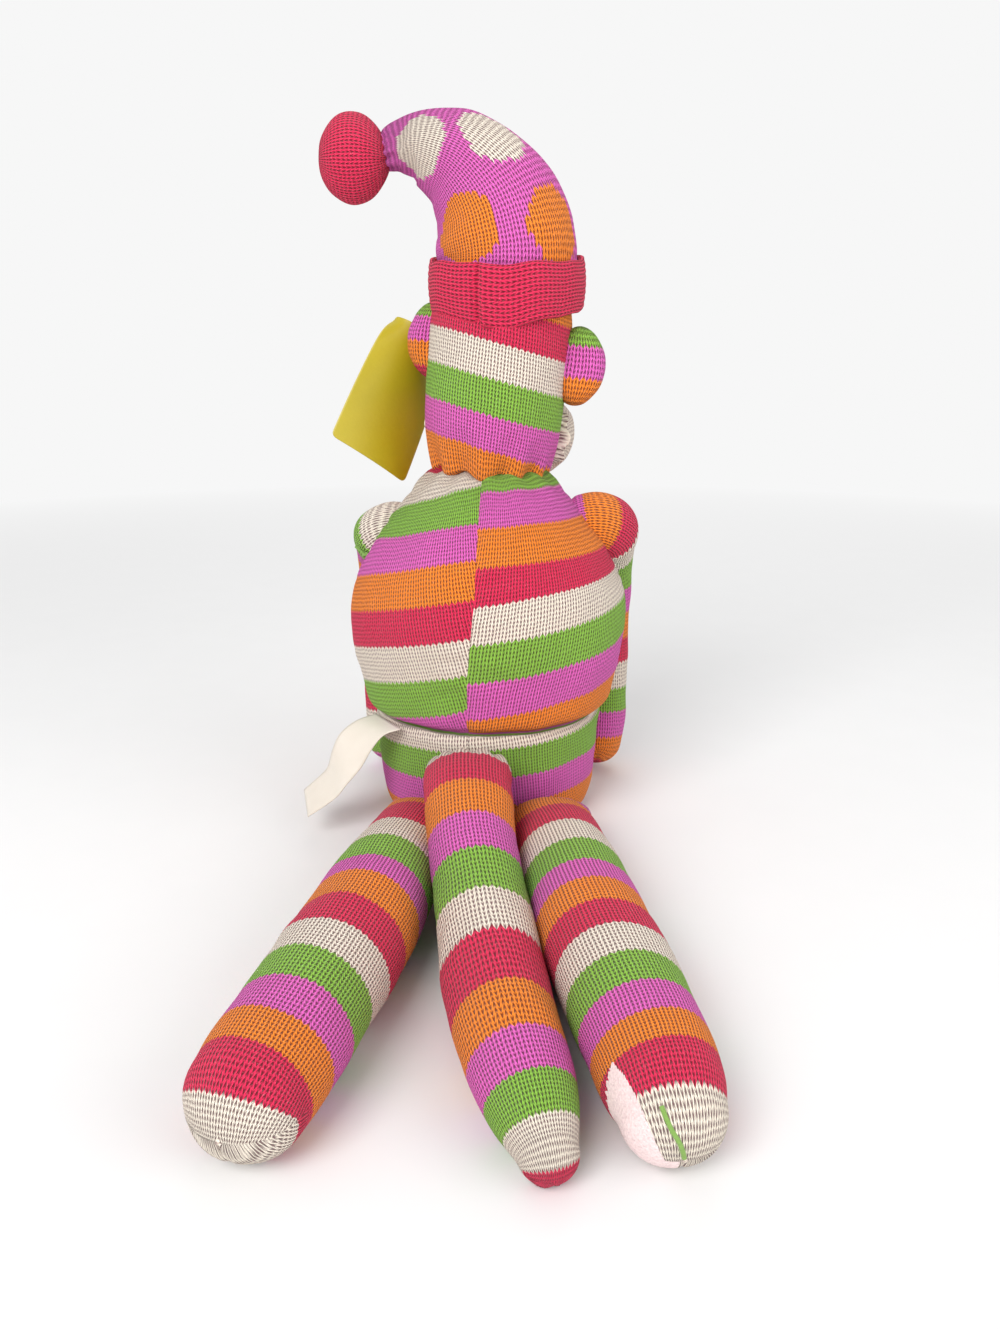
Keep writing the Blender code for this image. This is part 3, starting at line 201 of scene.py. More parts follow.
class DollTrim(bpy.types.PropertyGroup):
    """Labels, eyes and other trim."""
    card: colour_property("Card", "Yellow card of the swing tag", (0.54, 0.445, 0.016))
    ribbon: colour_property("Ribbon", "Off-white ribbon of the sewn label", (0.84, 0.77, 0.68))
    eye: colour_property("Eye", "Black plastic", (0.012, 0.012, 0.014))
    label_width: length_property("Label width", "Width of the sewn label", 0.019)
    card_width: length_property("Card width", "Width of the swing tag", 0.0375)
    card_length: length_property("Card length", "Length of the swing tag", 0.055)


class DollStage(bpy.types.PropertyGroup):
    """Camera, floor and light."""
    camera_place: FloatVectorProperty(name="Camera", description="Where the camera stands",
                                      unit="LENGTH", size=3, default=(0.005, -0.398, 0.1824))
    camera_pitch: FloatProperty(name="Pitch", description="How far the camera looks down",
                                unit="ROTATION", default=math.radians(17.0))
    lens: FloatProperty(name="Lens", description="Focal length in millimetres on 36 mm",
                        default=27.09)
    floor: colour_property("Floor", "Floor and backdrop", (0.84, 0.84, 0.84))


# Shader trees
class Value:
    """One socket of a node tree. Arithmetic on it adds Math nodes."""

    def __init__(self, tree, socket):
        self.tree = tree
        self.socket = socket

    def maths(self, operation, *others):
        return self.tree.node("ShaderNodeMath", {"operation": operation}, self, *others)

    def __rsub__(self, other):
        return self.tree.node("ShaderNodeMath", {"operation": "SUBTRACT"}, other, self)

    def clamped(self):
        return self.tree.node("ShaderNodeClamp", {}, self)

    def beside(self, out):
        """Another output of the same node."""
        return Value(self.tree, self.socket.node.outputs[out])


def math_method(operation):
    """A method of Value that adds this Math node."""
    def method(self, *others):
        return self.maths(operation, *others)
    return method


for word, operation in (("__add__", "ADD"), ("__radd__", "ADD"), ("__sub__", "SUBTRACT"),
                        ("__mul__", "MULTIPLY"), ("__rmul__", "MULTIPLY"),
                        ("__truediv__", "DIVIDE"), ("__pow__", "POWER"),
                        ("__abs__", "ABSOLUTE"), ("__lt__", "LESS_THAN"),
                        ("__gt__", "GREATER_THAN"), ("floor", "FLOOR"),
                        ("fraction", "FRACT"), ("sine", "SINE")):
    setattr(Value, word, math_method(operation))


class Tree:
    """A node tree that is built node by node."""

    def __init__(self, tree):
        self.tree = tree

    def node(self, kind, settings, *inputs, out=0, **named):
        """Adds a node: settings first, then inputs by place and by name."""
        made = self.tree.nodes.new(kind)
        for word, value in settings.items():
            if word == "ramp":
                self.fill_ramp(made.color_ramp, *value)
            else:
                setattr(made, word, value)
        pairs = list(zip(made.inputs, inputs))
        pairs += [(made.inputs[word.replace("_", " ")], value) for word, value in named.items()]
        for socket, value in pairs:
            self.feed(socket, value)
        return Value(self, made.outputs[out]) if made.outputs else None

    def fill_ramp(self, ramp, interpolation, *stops):
        """Sets a colour ramp's stops."""
        ramp.interpolation = interpolation
        for index, (place, colour) in enumerate(stops):
            known = index < len(ramp.elements)
            stop = ramp.elements[index] if known else ramp.elements.new(place)
            stop.position = place
            stop.color = (*colour, 1)

    def feed(self, socket, value):
        """Links a Value to a socket, or sets the socket's number."""
        if isinstance(value, Value):
            self.tree.links.new(value.socket, socket)
        elif value is not None:
            socket.default_value = value

    def mix(self, factor, first, second, blend="MIX"):
        """Mix of two colours."""
        first, second = ((*each, 1) if isinstance(each, tuple) and len(each) == 3 else each
                         for each in (first, second))
        unused = [None] * 5
        return self.node("ShaderNodeMix", {"data_type": "RGBA", "blend_type": blend},
                         factor, *unused, first, second, out=2)

    def noise(self, scale, detail=2.0):
        """Even noise in object space, from 0 to 1."""
        place = self.node("ShaderNodeTexCoord", {}, out=3)
        return self.node("ShaderNodeTexNoise", {}, Vector=place, Scale=scale, Detail=detail)


class Shader(Tree):
    """A material and its node tree."""

    def __init__(self, name, **principled):
        self.material = bpy.data.materials.new(name)
        self.material.use_nodes = True
        super().__init__(self.material.node_tree)
        self.surface = self.tree.nodes["Principled BSDF"]
        for word, value in principled.items():
            self.surface.inputs[word.replace("_", " ")].default_value = value

    def stitch_map(self):
        """The UV map that counts stitches or millimetres: across it and down it."""
        place = self.node("ShaderNodeUVMap", {"uv_map": "stitches"})
        across = self.node("ShaderNodeSeparateXYZ", {}, place)
        return across, across.beside(1)

    def finish(self, colour, height=None, distance=0.0005):
        """Feeds the surface's colour and relief."""
        self.feed(self.surface.inputs["Base Color"], colour)
        if height is not None:
            bump = self.node("ShaderNodeBump", {}, Height=height, Distance=distance,
                             Strength=1.0)
            self.feed(self.surface.inputs["Normal"], bump)
        return self.material


def yarn_colours(order):
    """Constant stops of a ramp for yarns in this order."""
    knit = bpy.context.scene.doll_knit
    share = 1.0 / len(order)
    return ["CONSTANT"] + [(index * share, tuple(getattr(knit, word)))
                           for index, word in enumerate(order)]


def stitches(shader):
    """Column, course and relief of plain knit, from the UV map that counts stitches."""
    knit = bpy.context.scene.doll_knit
    across, down = shader.stitch_map()
    wobble = shader.noise(240.0, 1.0) - 0.5
    across = across + wobble * 0.20
    side = abs(across.fraction() - 0.5)
    yarn = ((down - side * (2.0 * knit.slant) + wobble * 0.6).fraction() * math.pi).sine()
    leg = (side * math.tau).sine().maths("MAXIMUM", 0.0) ** 1.5
    relief = leg * (yarn * 0.16 + 0.84) + (1.0 - leg) * yarn ** 3.0 * 0.90
    relief = relief * (1.0 - (side * 2.0) ** 5.0 * 0.14)
    course = (down - side * (2.0 * knit.teeth) + wobble * 0.3).floor()
    return across, course, relief


def knitted(name, order=STRIPES, courses=STRIPE_ROWS, pattern=None, patch=None):
    """Knit fabric: stripes in this order, each of so many courses, or one yarn, with shade painted
    into the gaps between its stitches.
    """
    knit = bpy.context.scene.doll_knit
    shader = Shader(name, Roughness=0.93, Sheen_Weight=0.10, Sheen_Roughness=0.6,
                    Specular_IOR_Level=0.15)
    across, course, relief = stitches(shader)
    if pattern is not None:
        colour = pattern(shader, across, course)
    elif len(order) == 1:
        colour = (*getattr(knit, order[0]), 1)
    else:
        stripe = (course / courses + 50 * len(order)).maths("MODULO", float(len(order)))
        stripe = (stripe.floor() + 0.5) / len(order)
        colour = shader.node("ShaderNodeValToRGB", {"ramp": yarn_colours(order)}, stripe)
    if patch is not None:
        colour, relief = patch(shader, across, course, colour, relief)
    fuzz = shader.noise(2200.0, 2.0)
    blotch = shader.noise(60.0, 2.0)
    # Painted shade: where the stitch relief is low, in the gaps between stitches, the colour is mixed
    # toward the darkened deep tone. The fuzz and blotch noise add random tone.
    shade = relief * 1.45 + (fuzz - 0.5) * 0.30 + (blotch - 0.5) * 0.16 - 0.24
    deep = shader.mix(1.0, colour, (0.30, 0.19, 0.22), blend="MULTIPLY")
    colour = shader.mix(shade.clamped(), deep, colour)
    pale = (fuzz - 0.60).maths("MAXIMUM", 0.0) * 0.8
    colour = shader.mix(pale, colour, (0.97, 0.93, 0.92))
    height = relief + (fuzz - 0.5) * 0.25
    return shader.finish(colour, height, knit.relief)


def brushed_patch(shader, across, course, colour, relief):
    """Pale brushed wedge on the inner side of the right foot"""
    point_course, point_column = 80.0, 18.4
    since = course - point_course
    inside = ((since > 0.0) * (across > since * -0.16 + point_column)
              * (across < since * 0.82 + point_column))
    nap = shader.noise(1500.0, 3.0)
    colour = shader.mix(inside, colour, (0.93, 0.74, 0.73))
    return colour, relief * (1.0 - inside) + inside * (nap * 0.5 + 0.55)


def plain_trim(name, colour, grain, depth, stretch=(1, 1, 1), **principled):
    """Trim in one colour: fine noise in object space gives its grain and relief."""
    shader = Shader(name, **principled)
    place = shader.node("ShaderNodeTexCoord", {}, out=3)
    turned = shader.node("ShaderNodeMapping", {}, Vector=place, Scale=stretch)
    fine = shader.node("ShaderNodeTexNoise", {}, Vector=turned, Scale=grain, Detail=3.0)
    broad = shader.noise(90.0)
    dark = shader.mix(1.0, (*colour, 1), (0.70, 0.68, 0.66), blend="MULTIPLY")
    shade = (fine * 0.9 + broad * 0.5 - 0.2).clamped()
    return shader.finish(shader.mix(shade, dark, colour), fine, depth)


# Mesh helpers
def deselect():
    """Nothing selected, in object mode."""
    if bpy.context.object and bpy.context.object.mode != "OBJECT":
        bpy.ops.object.mode_set(mode="OBJECT")
    bpy.ops.object.select_all(action="DESELECT")


def choose(piece):
    """Only this piece is selected and active."""
    deselect()
    piece.select_set(True)
    bpy.context.view_layer.objects.active = piece


def apply_modifiers(piece):
    """Applies all modifiers of a piece."""
    choose(piece)
    for modifier in list(piece.modifiers):
        bpy.ops.object.modifier_apply(modifier=modifier.name)


def add_piece(name, data):
    """A new object in the scene, selected and active."""
    piece = bpy.data.objects.new(name, data)
    bpy.context.scene.collection.objects.link(piece)
    choose(piece)
    return piece


def smooth_path(stations, count):
    """Evenly spaced rows on a smooth curve through the stations, and their distances."""
    points = np.array(stations, float)
    ends = np.vstack([2 * points[0] - points[1], points, 2 * points[-1] - points[-2]])
    rows = []
    steps_between = 20
    share = np.linspace(0, 1, steps_between, endpoint=False)[:, None]
    for index in range(len(points) - 1):
        a, b, c, d = ends[index:index + 4]
        rows.append(0.5 * (2 * b + (c - a) * share + (2 * a - 5 * b + 4 * c - d) * share ** 2
                           + (3 * b - a - 3 * c + d) * share ** 3))
    path = np.vstack(rows + [points[-1:]])
    steps = np.linalg.norm(np.diff(path[:, :3], axis=0), axis=1)
    run = np.concatenate([[0], np.cumsum(steps)])
    distances = np.linspace(0, run[-1], count)
    return distances, np.stack([np.interp(distances, run, column) for column in path.T], 1)


def unit(vectors):
    """Vectors of length 1."""
    return vectors / np.maximum(np.linalg.norm(vectors, axis=-1, keepdims=True), 1e-9)


def rounded_tube(stations, hint, around, along, start=0.0, end=0.9, full=1.0):
    """Grid of places round a path, with domes at its ends, its distances and angles."""
    closing, bow = math.pi / 2 * 0.985, 1.3
    run, rows = smooth_path(stations, along)
    middle, half = rows[:, :3], rows[:, 3:5]
    forward = unit(np.gradient(middle, axis=0))
    if start:
        turn = 1 - np.linspace(0, 1, DOME_ROWS + 1)[:-1]
        reach = start * half[0].mean()
        dome = middle[0] - forward[0] * reach * np.sin(turn * math.pi / 2)[:, None]
        size = half[0] * np.cos(turn * closing)[:, None]
        run = np.concatenate([reach * bow * (1 - turn), run + reach * bow])
        middle, half = np.vstack([dome, middle]), np.vstack([size, half])
        forward = np.vstack([np.repeat(forward[:1], DOME_ROWS, 0), forward])
    if end:
        turn = np.linspace(0, 1, DOME_ROWS + 1)[1:]
        reach = end * half[-1].mean()
        dome = middle[-1] + forward[-1] * reach * np.sin(turn * math.pi / 2)[:, None]
        size = half[-1] * np.cos(turn * closing)[:, None]
        run = np.concatenate([run, run[-1] + reach * bow * turn])
        middle, half = np.vstack([middle, dome]), np.vstack([half, size])
        forward = np.vstack([forward, np.repeat(forward[-1:], DOME_ROWS, 0)])
    hint = np.array(hint, float)
    side = unit(hint - forward * (forward @ hint)[:, None])
    up = np.cross(forward, side)
    angle = np.linspace(0, math.tau, around, endpoint=False)
    wide = np.sign(np.cos(angle)) * np.abs(np.cos(angle)) ** full
    tall = np.sign(np.sin(angle)) * np.abs(np.sin(angle)) ** full
    places = (middle[:, None] + side[:, None] * (half[:, :1] * wide)[..., None]
              + up[:, None] * (half[:, 1:] * tall)[..., None])
    return places, run, angle


def lumps(places, size, depth, seed):
    """Soft unevenness of stuffing, as a signed distance for each place."""
    offset = Vector((seed * 3.1, seed * 1.7, seed * 0.9))
    flat = places.reshape(-1, 3)
    values = [noise.fractal(Vector(point) / size + offset, 1.0, 2.0, 2) for point in flat]
    return np.array(values).reshape(places.shape[:-1]) * depth


def outward(places):
    """Outward directions of a grid that closes round its columns."""
    along = np.gradient(places, axis=0)
    ahead = np.roll(places, -1, axis=1) - np.roll(places, 1, axis=1)
    normals = unit(np.cross(ahead, along))
    middle = places.mean(axis=1, keepdims=True)
    if ((places - middle) * normals).sum() < 0:
        normals = -normals
    return normals


def sew(name, places, stitch_at, material, closed=True):
    """Mesh over a grid of places, its ends closed or not, with a map that counts stitches."""
    rows, columns = places.shape[:2]
    corners = [tuple(place) for place in places.reshape(-1, 3)]
    faces = []
    counts = []
    for row in range(rows - 1):
        for column in range(columns):
            after = (column + 1) % columns
            faces.append((row * columns + column, row * columns + after,
                          (row + 1) * columns + after, (row + 1) * columns + column))
            counts += [stitch_at(row, column, column), stitch_at(row, column + 1, column),
                       stitch_at(row + 1, column + 1, column),
                       stitch_at(row + 1, column, column)]
    for row in (0, rows - 1) if closed else ():
        corners.append(tuple(places[row].mean(axis=0)))
        for column in range(columns):
            after = (column + 1) % columns
            faces.append((len(corners) - 1, row * columns + column, row * columns + after))
            first = stitch_at(row, column, column)
            last = stitch_at(row, column + 1, column)
            counts += [((first[0] + last[0]) / 2, first[1]), first, last]
    mesh = bpy.data.meshes.new(name)
    mesh.from_pydata(corners, [], faces)
    layer = mesh.uv_layers.new(name="stitches")
    layer.data.foreach_set("uv", np.array(counts, float).ravel())
    mesh.materials.append(material)
    mesh.validate()
    piece = add_piece(name, mesh)
    bpy.ops.object.mode_set(mode="EDIT")
    bpy.ops.mesh.select_all(action="SELECT")
    if not closed:
        bpy.ops.mesh.remove_doubles(threshold=0.00001)
    bpy.ops.mesh.normals_make_consistent(inside=False)
    bpy.ops.object.mode_set(mode="OBJECT")
    bpy.ops.object.shade_smooth()
    return piece


def read_places(mesh):
    """Vertex places as an array."""
    flat = np.empty(len(mesh.vertices) * 3)
    mesh.vertices.foreach_get("co", flat)
    return flat.reshape(-1, 3)


def set_places(piece, places):
    """Moves the piece's vertices to these places."""
    piece.data.vertices.foreach_set("co", places.ravel())
    piece.data.update()


def puff(piece, pinned, swell=1.0):
    """Cloth simulation: air presses the cover out between its seams, up to a limit."""
    stuffing = bpy.context.scene.doll_stuffing
    scale = 3.0                     # cloth settings suit a doll three times as large
    rest = read_places(piece.data)
    group = piece.vertex_groups.new(name="sewn")
    group.add([int(index) for index in np.flatnonzero(pinned)], 1.0, "ADD")
    piece.data.transform(Matrix.Scale(scale, 4))
    cloth = piece.modifiers.new("pressed", "CLOTH")
    settings = cloth.settings
    settings.quality = 5
    settings.use_pressure = True
    settings.uniform_pressure_force = stuffing.pressure
    settings.shrink_min = -0.03
    settings.bending_stiffness = 0.6
    settings.vertex_group_mass = "sewn"
    settings.effector_weights.gravity = 0
    cloth.collision_settings.use_collision = False
    for frame_number in range(1, 21):
        bpy.context.scene.frame_set(frame_number)
    graph = bpy.context.evaluated_depsgraph_get()
    moved = read_places(piece.evaluated_get(graph).data) / scale
    piece.modifiers.remove(cloth)
    piece.vertex_groups.remove(group)
    bpy.context.scene.frame_set(1)
    step = moved - rest
    length = np.linalg.norm(step, axis=1, keepdims=True)
    limit = stuffing.puff * swell
    step *= np.tanh(length / limit) * limit / np.maximum(length, 1e-9)
    step[~np.isfinite(step).all(axis=1)] = 0
    set_places(piece, rest + step)


def refine(piece):
    """One subdivision, applied, that keeps the stitch map as it is."""
    modifier = piece.modifiers.new("fine", "SUBSURF")
    modifier.levels = modifier.render_levels = 1
    modifier.uv_smooth = "NONE"
    apply_modifiers(piece)


def above_floor(piece, floor=LIMB_FLOOR):
    """Where a stuffed piece lies on the floor it is pressed flat."""
    pressed, left = 0.0012, 0.5
    places = read_places(piece.data)
    low = places[:, 2] < floor + pressed
    places[low, 2] = floor + np.maximum(places[low, 2] - floor, 0) * left
    set_places(piece, places)


def finish_piece(piece, body, nodes):
    """Hangs the piece on its body's empty and hides the model parts that it stands in for."""
    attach(piece, body)
    if nodes:
        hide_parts(*nodes)


def stuffed_limb(name, stations, edges, material, courses, hint=(1, 0, 0), around=56,
                 along=84, seed=1.0, gathers=11, start=0.0, end=0.92, seam_at=None):
    """One stuffed knitted tube, gathered at its root and rounded at its end."""
    stuffing = bpy.context.scene.doll_stuffing
    knit = bpy.context.scene.doll_knit
    places, run, angle = rounded_tube(stations, hint, around, along, start, end)
    normals = outward(places)
    push = lumps(places, stuffing.lump_size, stuffing.lump, seed)
    root_reach, root_depth, seam_depth, seam_half = 0.010, 0.0011, 0.0006, 0.0014
    root = np.exp(-(run / root_reach) ** 2)[:, None]
    folds = np.cos(gathers * angle + 0.9 * np.sin(3 * angle))[None]
    push = push + root * root_depth * folds
    if seam_at is not None:
        apart = np.abs((angle - seam_at + math.pi) % math.tau - math.pi)
        push = push - seam_depth * np.exp(-(apart * 0.016 / seam_half) ** 2)[None]
    places = places + normals * push[..., None]
    width = math.tau * np.mean([row[3] for row in stations[1:]])
    wales = round(width / knit.wale)
    stripe = np.interp(run, [edge[0] for edge in edges], [edge[1] for edge in edges])
    last = len(run) - DOME_ROWS - 1
    shares = np.linspace(0, 1, DOME_ROWS + 1)

    def stitch_at(row, column, face):
        """Rows run level round the limb and then straight over its end."""
        turn = column / around
        if row <= last or not end:
            return (turn * wales, stripe[row] * courses)
        share = shares[row - last]
        size = math.cos(share * math.pi / 2 * 0.985)
        level = max(math.sin(math.tau * turn), 0) * size
        over = math.atan2(math.sin(share * math.pi / 2) * 0.9, level + 0.35) / 1.2
        aside = math.cos(math.tau * turn) * size * width / math.tau / knit.wale
        above = turn <= 0.5
        straight = (0.25 if above else 0.75) * wales - (aside if above else -aside)
        across = turn * wales * (1 - share) + straight * share
        return (across, (stripe[last] + (stripe[-1] - stripe[last]) * over) * courses)

    piece = sew(name, places, stitch_at, material)
    pinned = np.zeros(len(piece.data.vertices), bool)
    pinned[:around * 2] = True
    puff(piece, pinned)
    refine(piece)
    return piece


# Operators
class BuildBody(bpy.types.Operator):
    """Body and seat: four knitted panels, drawn in at their seams and at the waist"""
    bl_idname = "doll.build_body"
    bl_label = "Body"

    def execute(self, context):
        stuffing = context.scene.doll_stuffing
        knit = context.scene.doll_knit
        back, front, along = 34, 64, 96
        run, rows = smooth_path(TORSO, along)
        height = rows[:, 2]
        neck_rise, closing = 0.0065, 0.0012
        seam = np.radians(np.interp(height, (0.050, 0.070, 0.085, 0.098, 0.123, 0.135),
                                    (-9.2, -8.0, -6.4, -5.2, -5.5, -5.8)))
        quarter = math.pi / 2
        share = np.linspace(0, 1, back, endpoint=False)
        wide = np.linspace(0, 1, front, endpoint=False)
        turn = np.concatenate([
            seam[:, None] + (quarter - seam[:, None]) * share,
            np.repeat((quarter + math.pi * wide)[None], along, 0),
            3 * quarter + (quarter + seam[:, None]) * share], axis=1)
        bottom = np.linspace(0.06, 1, 9, endpoint=False)
        top = np.linspace(1, 0.08, 8)[1:]
        size = np.concatenate([np.outer(bottom, rows[0, 3:5]), rows[:, 3:5],
                               np.outer(top, rows[-1, 3:5])])
        rise = np.concatenate([np.full(len(bottom), height[0]), height,
                               height[-1] + neck_rise * np.sin((1 - top) * quarter)])
        turn = np.vstack([np.repeat(turn[:1], len(bottom), 0), turn,
                          np.repeat(turn[-1:], len(top), 0)])
        middle = np.interp(rise, height, rows[:, 0])
        places = np.stack([middle[:, None] + size[:, :1] * np.sin(turn),
                           -size[:, 1:] * np.cos(turn),
                           np.repeat(rise[:, None], turn.shape[1], 1)], axis=2)
        normals = outward(places)
        reach = np.concatenate([rows[0, 3] * (bottom - 1), run,
                                run[-1] + rows[-1, 3] * (1 - top)])

        count = turn.shape[1]
        over_seam = np.interp(rise, (0.0455, 0.0698, 0.098, 0.105, 0.1116, 0.135),
                              (0.60, 0.50, 0.56, 0.35, 0.15, 0.0))
        shift_right = np.interp(rise, (0.060, 0.080, 0.123, 0.135), (-0.05, 0.10, 0.16, 0.05))
        shift_left = np.interp(rise, (0.115, 0.130), (0.18, 0.0))
        middles = (rise + np.append(rise[1:], rise[-1])) / 2
        upright = rise + np.minimum(reach, 0) + np.maximum(reach - run[-1], 0)
        round_body = 0.049 / knit.wale

        def stitch_at(row, column, face):
            """Each panel has its own slope and start of stripes."""
            angle = turn[row, column % count] + (math.tau if column == count else 0)
            level = upright[row]
            if middles[row] <= WAIST:
                across = (angle * 0.043 + 0.1 * level) / knit.wale
                stripe = (0.0525 - level) / 0.0125 + 0.30 * math.sin(angle) + 5
            elif face < back:
                across = angle * round_body - 0.12 * level / knit.wale
                stripe = 12.031 + over_seam[row] * (angle + 0.1) - 74.2 * level + shift_right[row]
            elif face >= back + front:
                across = (angle - math.tau) * round_body + 0.20 * level / knit.wale
                stripe = 11.004 + 0.712 * (angle - math.tau) - 71.6 * level + shift_left[row]
            else:
                across = angle * round_body
                stripe = 13.2 - 72.0 * level
            return (across, stripe * STRIPE_ROWS)

        piece = sew("body", places, stitch_at, knitted("striped body knit"))
        level = np.repeat(rise, count)
        column = np.tile(np.arange(count), len(rise))
        sewn = (np.abs(level - WAIST) < closing) | (level < 0.0015) | (level > 0.1385)
        sewn |= np.isin(column, (0, back, back + front)) & (level > WAIST)
        sewn = np.concatenate([sewn, [True, True]])
        puff(piece, sewn, 0.55)
        spots = read_places(piece.data)
        grid = spots[:-2].reshape(len(rise), count, 3)
        push = lumps(grid, stuffing.lump_size, stuffing.lump * 1.2, 4.0)
        seams = np.concatenate([np.full(len(bottom), seam[0]), seam,
                                np.full(len(top), seam[-1])])[:, None]
        for line, depth in ((seams, 1.0), (quarter, 0.8), (3 * quarter, 0.8)):
            apart = np.abs((turn - line + math.pi) % math.tau - math.pi)
            dip = np.exp(-(apart * 0.048 / 0.0016) ** 2) * (rise > WAIST)[:, None]
            push = push - stuffing.seam_depth * depth * dip
        crease = np.exp(-((rise - WAIST) / 0.0021) ** 2)[:, None]
        over = np.exp(-((rise - WAIST - 0.0065) / 0.0050) ** 2)[:, None]
        push = push - stuffing.crease_depth * crease + 0.0009 * over
        gather = np.exp(-((rise - 0.1405) / 0.010) ** 2)[:, None]
        push = push + gather * 0.0007 * np.cos(13 * turn + 1.3 * np.sin(2 * turn))
        push[:len(bottom)] *= 0
        grid = grid + outward(grid) * push[..., None]
        spots[:-2] = grid.reshape(-1, 3)
        set_places(piece, spots)
        refine(piece)
        above_floor(piece, 0.0)
        finish_piece(piece, "torso", ("torso_back_left", "torso_back_right", "torso_front",
                                      "torso_seat", "torso_stuffing"))
        return {"FINISHED"}


class BuildHead(bpy.types.Operator):
    """Head: a stuffed striped tube, gathered onto the body"""
    bl_idname = "doll.build_head"
    bl_label = "Head"

    def execute(self, context):
        stuffing = context.scene.doll_stuffing
        around, along = 96, 72
        places, run, angle = rounded_tube(HEAD, (1, 0, 0), around, along, 0.0, 0.35)
        normals = outward(places)
        push = lumps(places, stuffing.lump_size, stuffing.lump, 7.0)
        neck = np.exp(-(run / 0.0060) ** 2)[:, None]
        scallop = np.cos(11 * angle + 1.1 * np.sin(2 * angle + 0.6))[None]
        push = push + neck * (0.0012 * scallop + 0.0004)
        places = places + normals * push[..., None]
        drop = np.exp(-(run / 0.0045) ** 2)[:, None] * (0.0011 * scallop + 0.0014)
        places[..., 2] -= drop
        wales, first_edge, slope, stripe_width = 72, 0.0464, 0.0047, 0.0124

        def stitch_at(row, column, face):
            """Stripes slope round the head."""
            turn = column / around
            stripe = (first_edge - slope * math.cos(math.tau * turn) - run[row]) / stripe_width
            return (turn * wales, (stripe + 5) * STRIPE_ROWS)

        piece = sew("head", places, stitch_at, knitted("striped head knit"))
        pinned = np.zeros(len(piece.data.vertices), bool)
        pinned[:around * 2] = True
        puff(piece, pinned, 0.7)
        refine(piece)
        finish_piece(piece, "head", ("head_cover", "head_stuffing"))
        return {"FINISHED"}


class BuildLimbs(bpy.types.Operator):
    """Arms, legs and tail: stuffed striped tubes"""
    bl_idname = "doll.build_limbs"
    bl_label = "Arms, legs and tail"

    def execute(self, context):
        legs = knitted("striped leg knit")
        patched = knitted("striped leg knit with a brushed patch", patch=brushed_patch)
        tails = knitted("striped tail knit", ("cream", "raspberry", "orange", "orchid", "green"))
        arm_rows = 7
        arms = knitted("striped arm knit", courses=arm_rows)
        for name, stations, edges, material, seed in (
                ("leg_left", LEG_LEFT, LEG_EDGES_LEFT, legs, 2.0),
                ("leg_right", LEG_RIGHT, LEG_EDGES_RIGHT, patched, 3.0),
                ("tail", TAIL, TAIL_EDGES, tails, 5.0)):
            piece = stuffed_limb(name, stations, edges, material, STRIPE_ROWS, seed=seed,
                                 seam_at=-math.pi / 2)
            above_floor(piece)
            finish_piece(piece, name, (name + "_cover", name + "_stuffing", name + "_seam"))
        for name, stations, edges, seed in (("arm_left", ARM_LEFT, ARM_EDGES_LEFT, 8.0),
                                            ("arm_right", ARM_RIGHT, ARM_EDGES_RIGHT, 9.0)):
            piece = stuffed_limb(name, stations, edges, arms, arm_rows, hint=(0, 1, 1),
                                 around=44, seed=seed, gathers=0, start=0.5, end=0.9)
            above_floor(piece)
            finish_piece(piece, name, (name + "_cover", name + "_stuffing"))
        return {"FINISHED"}


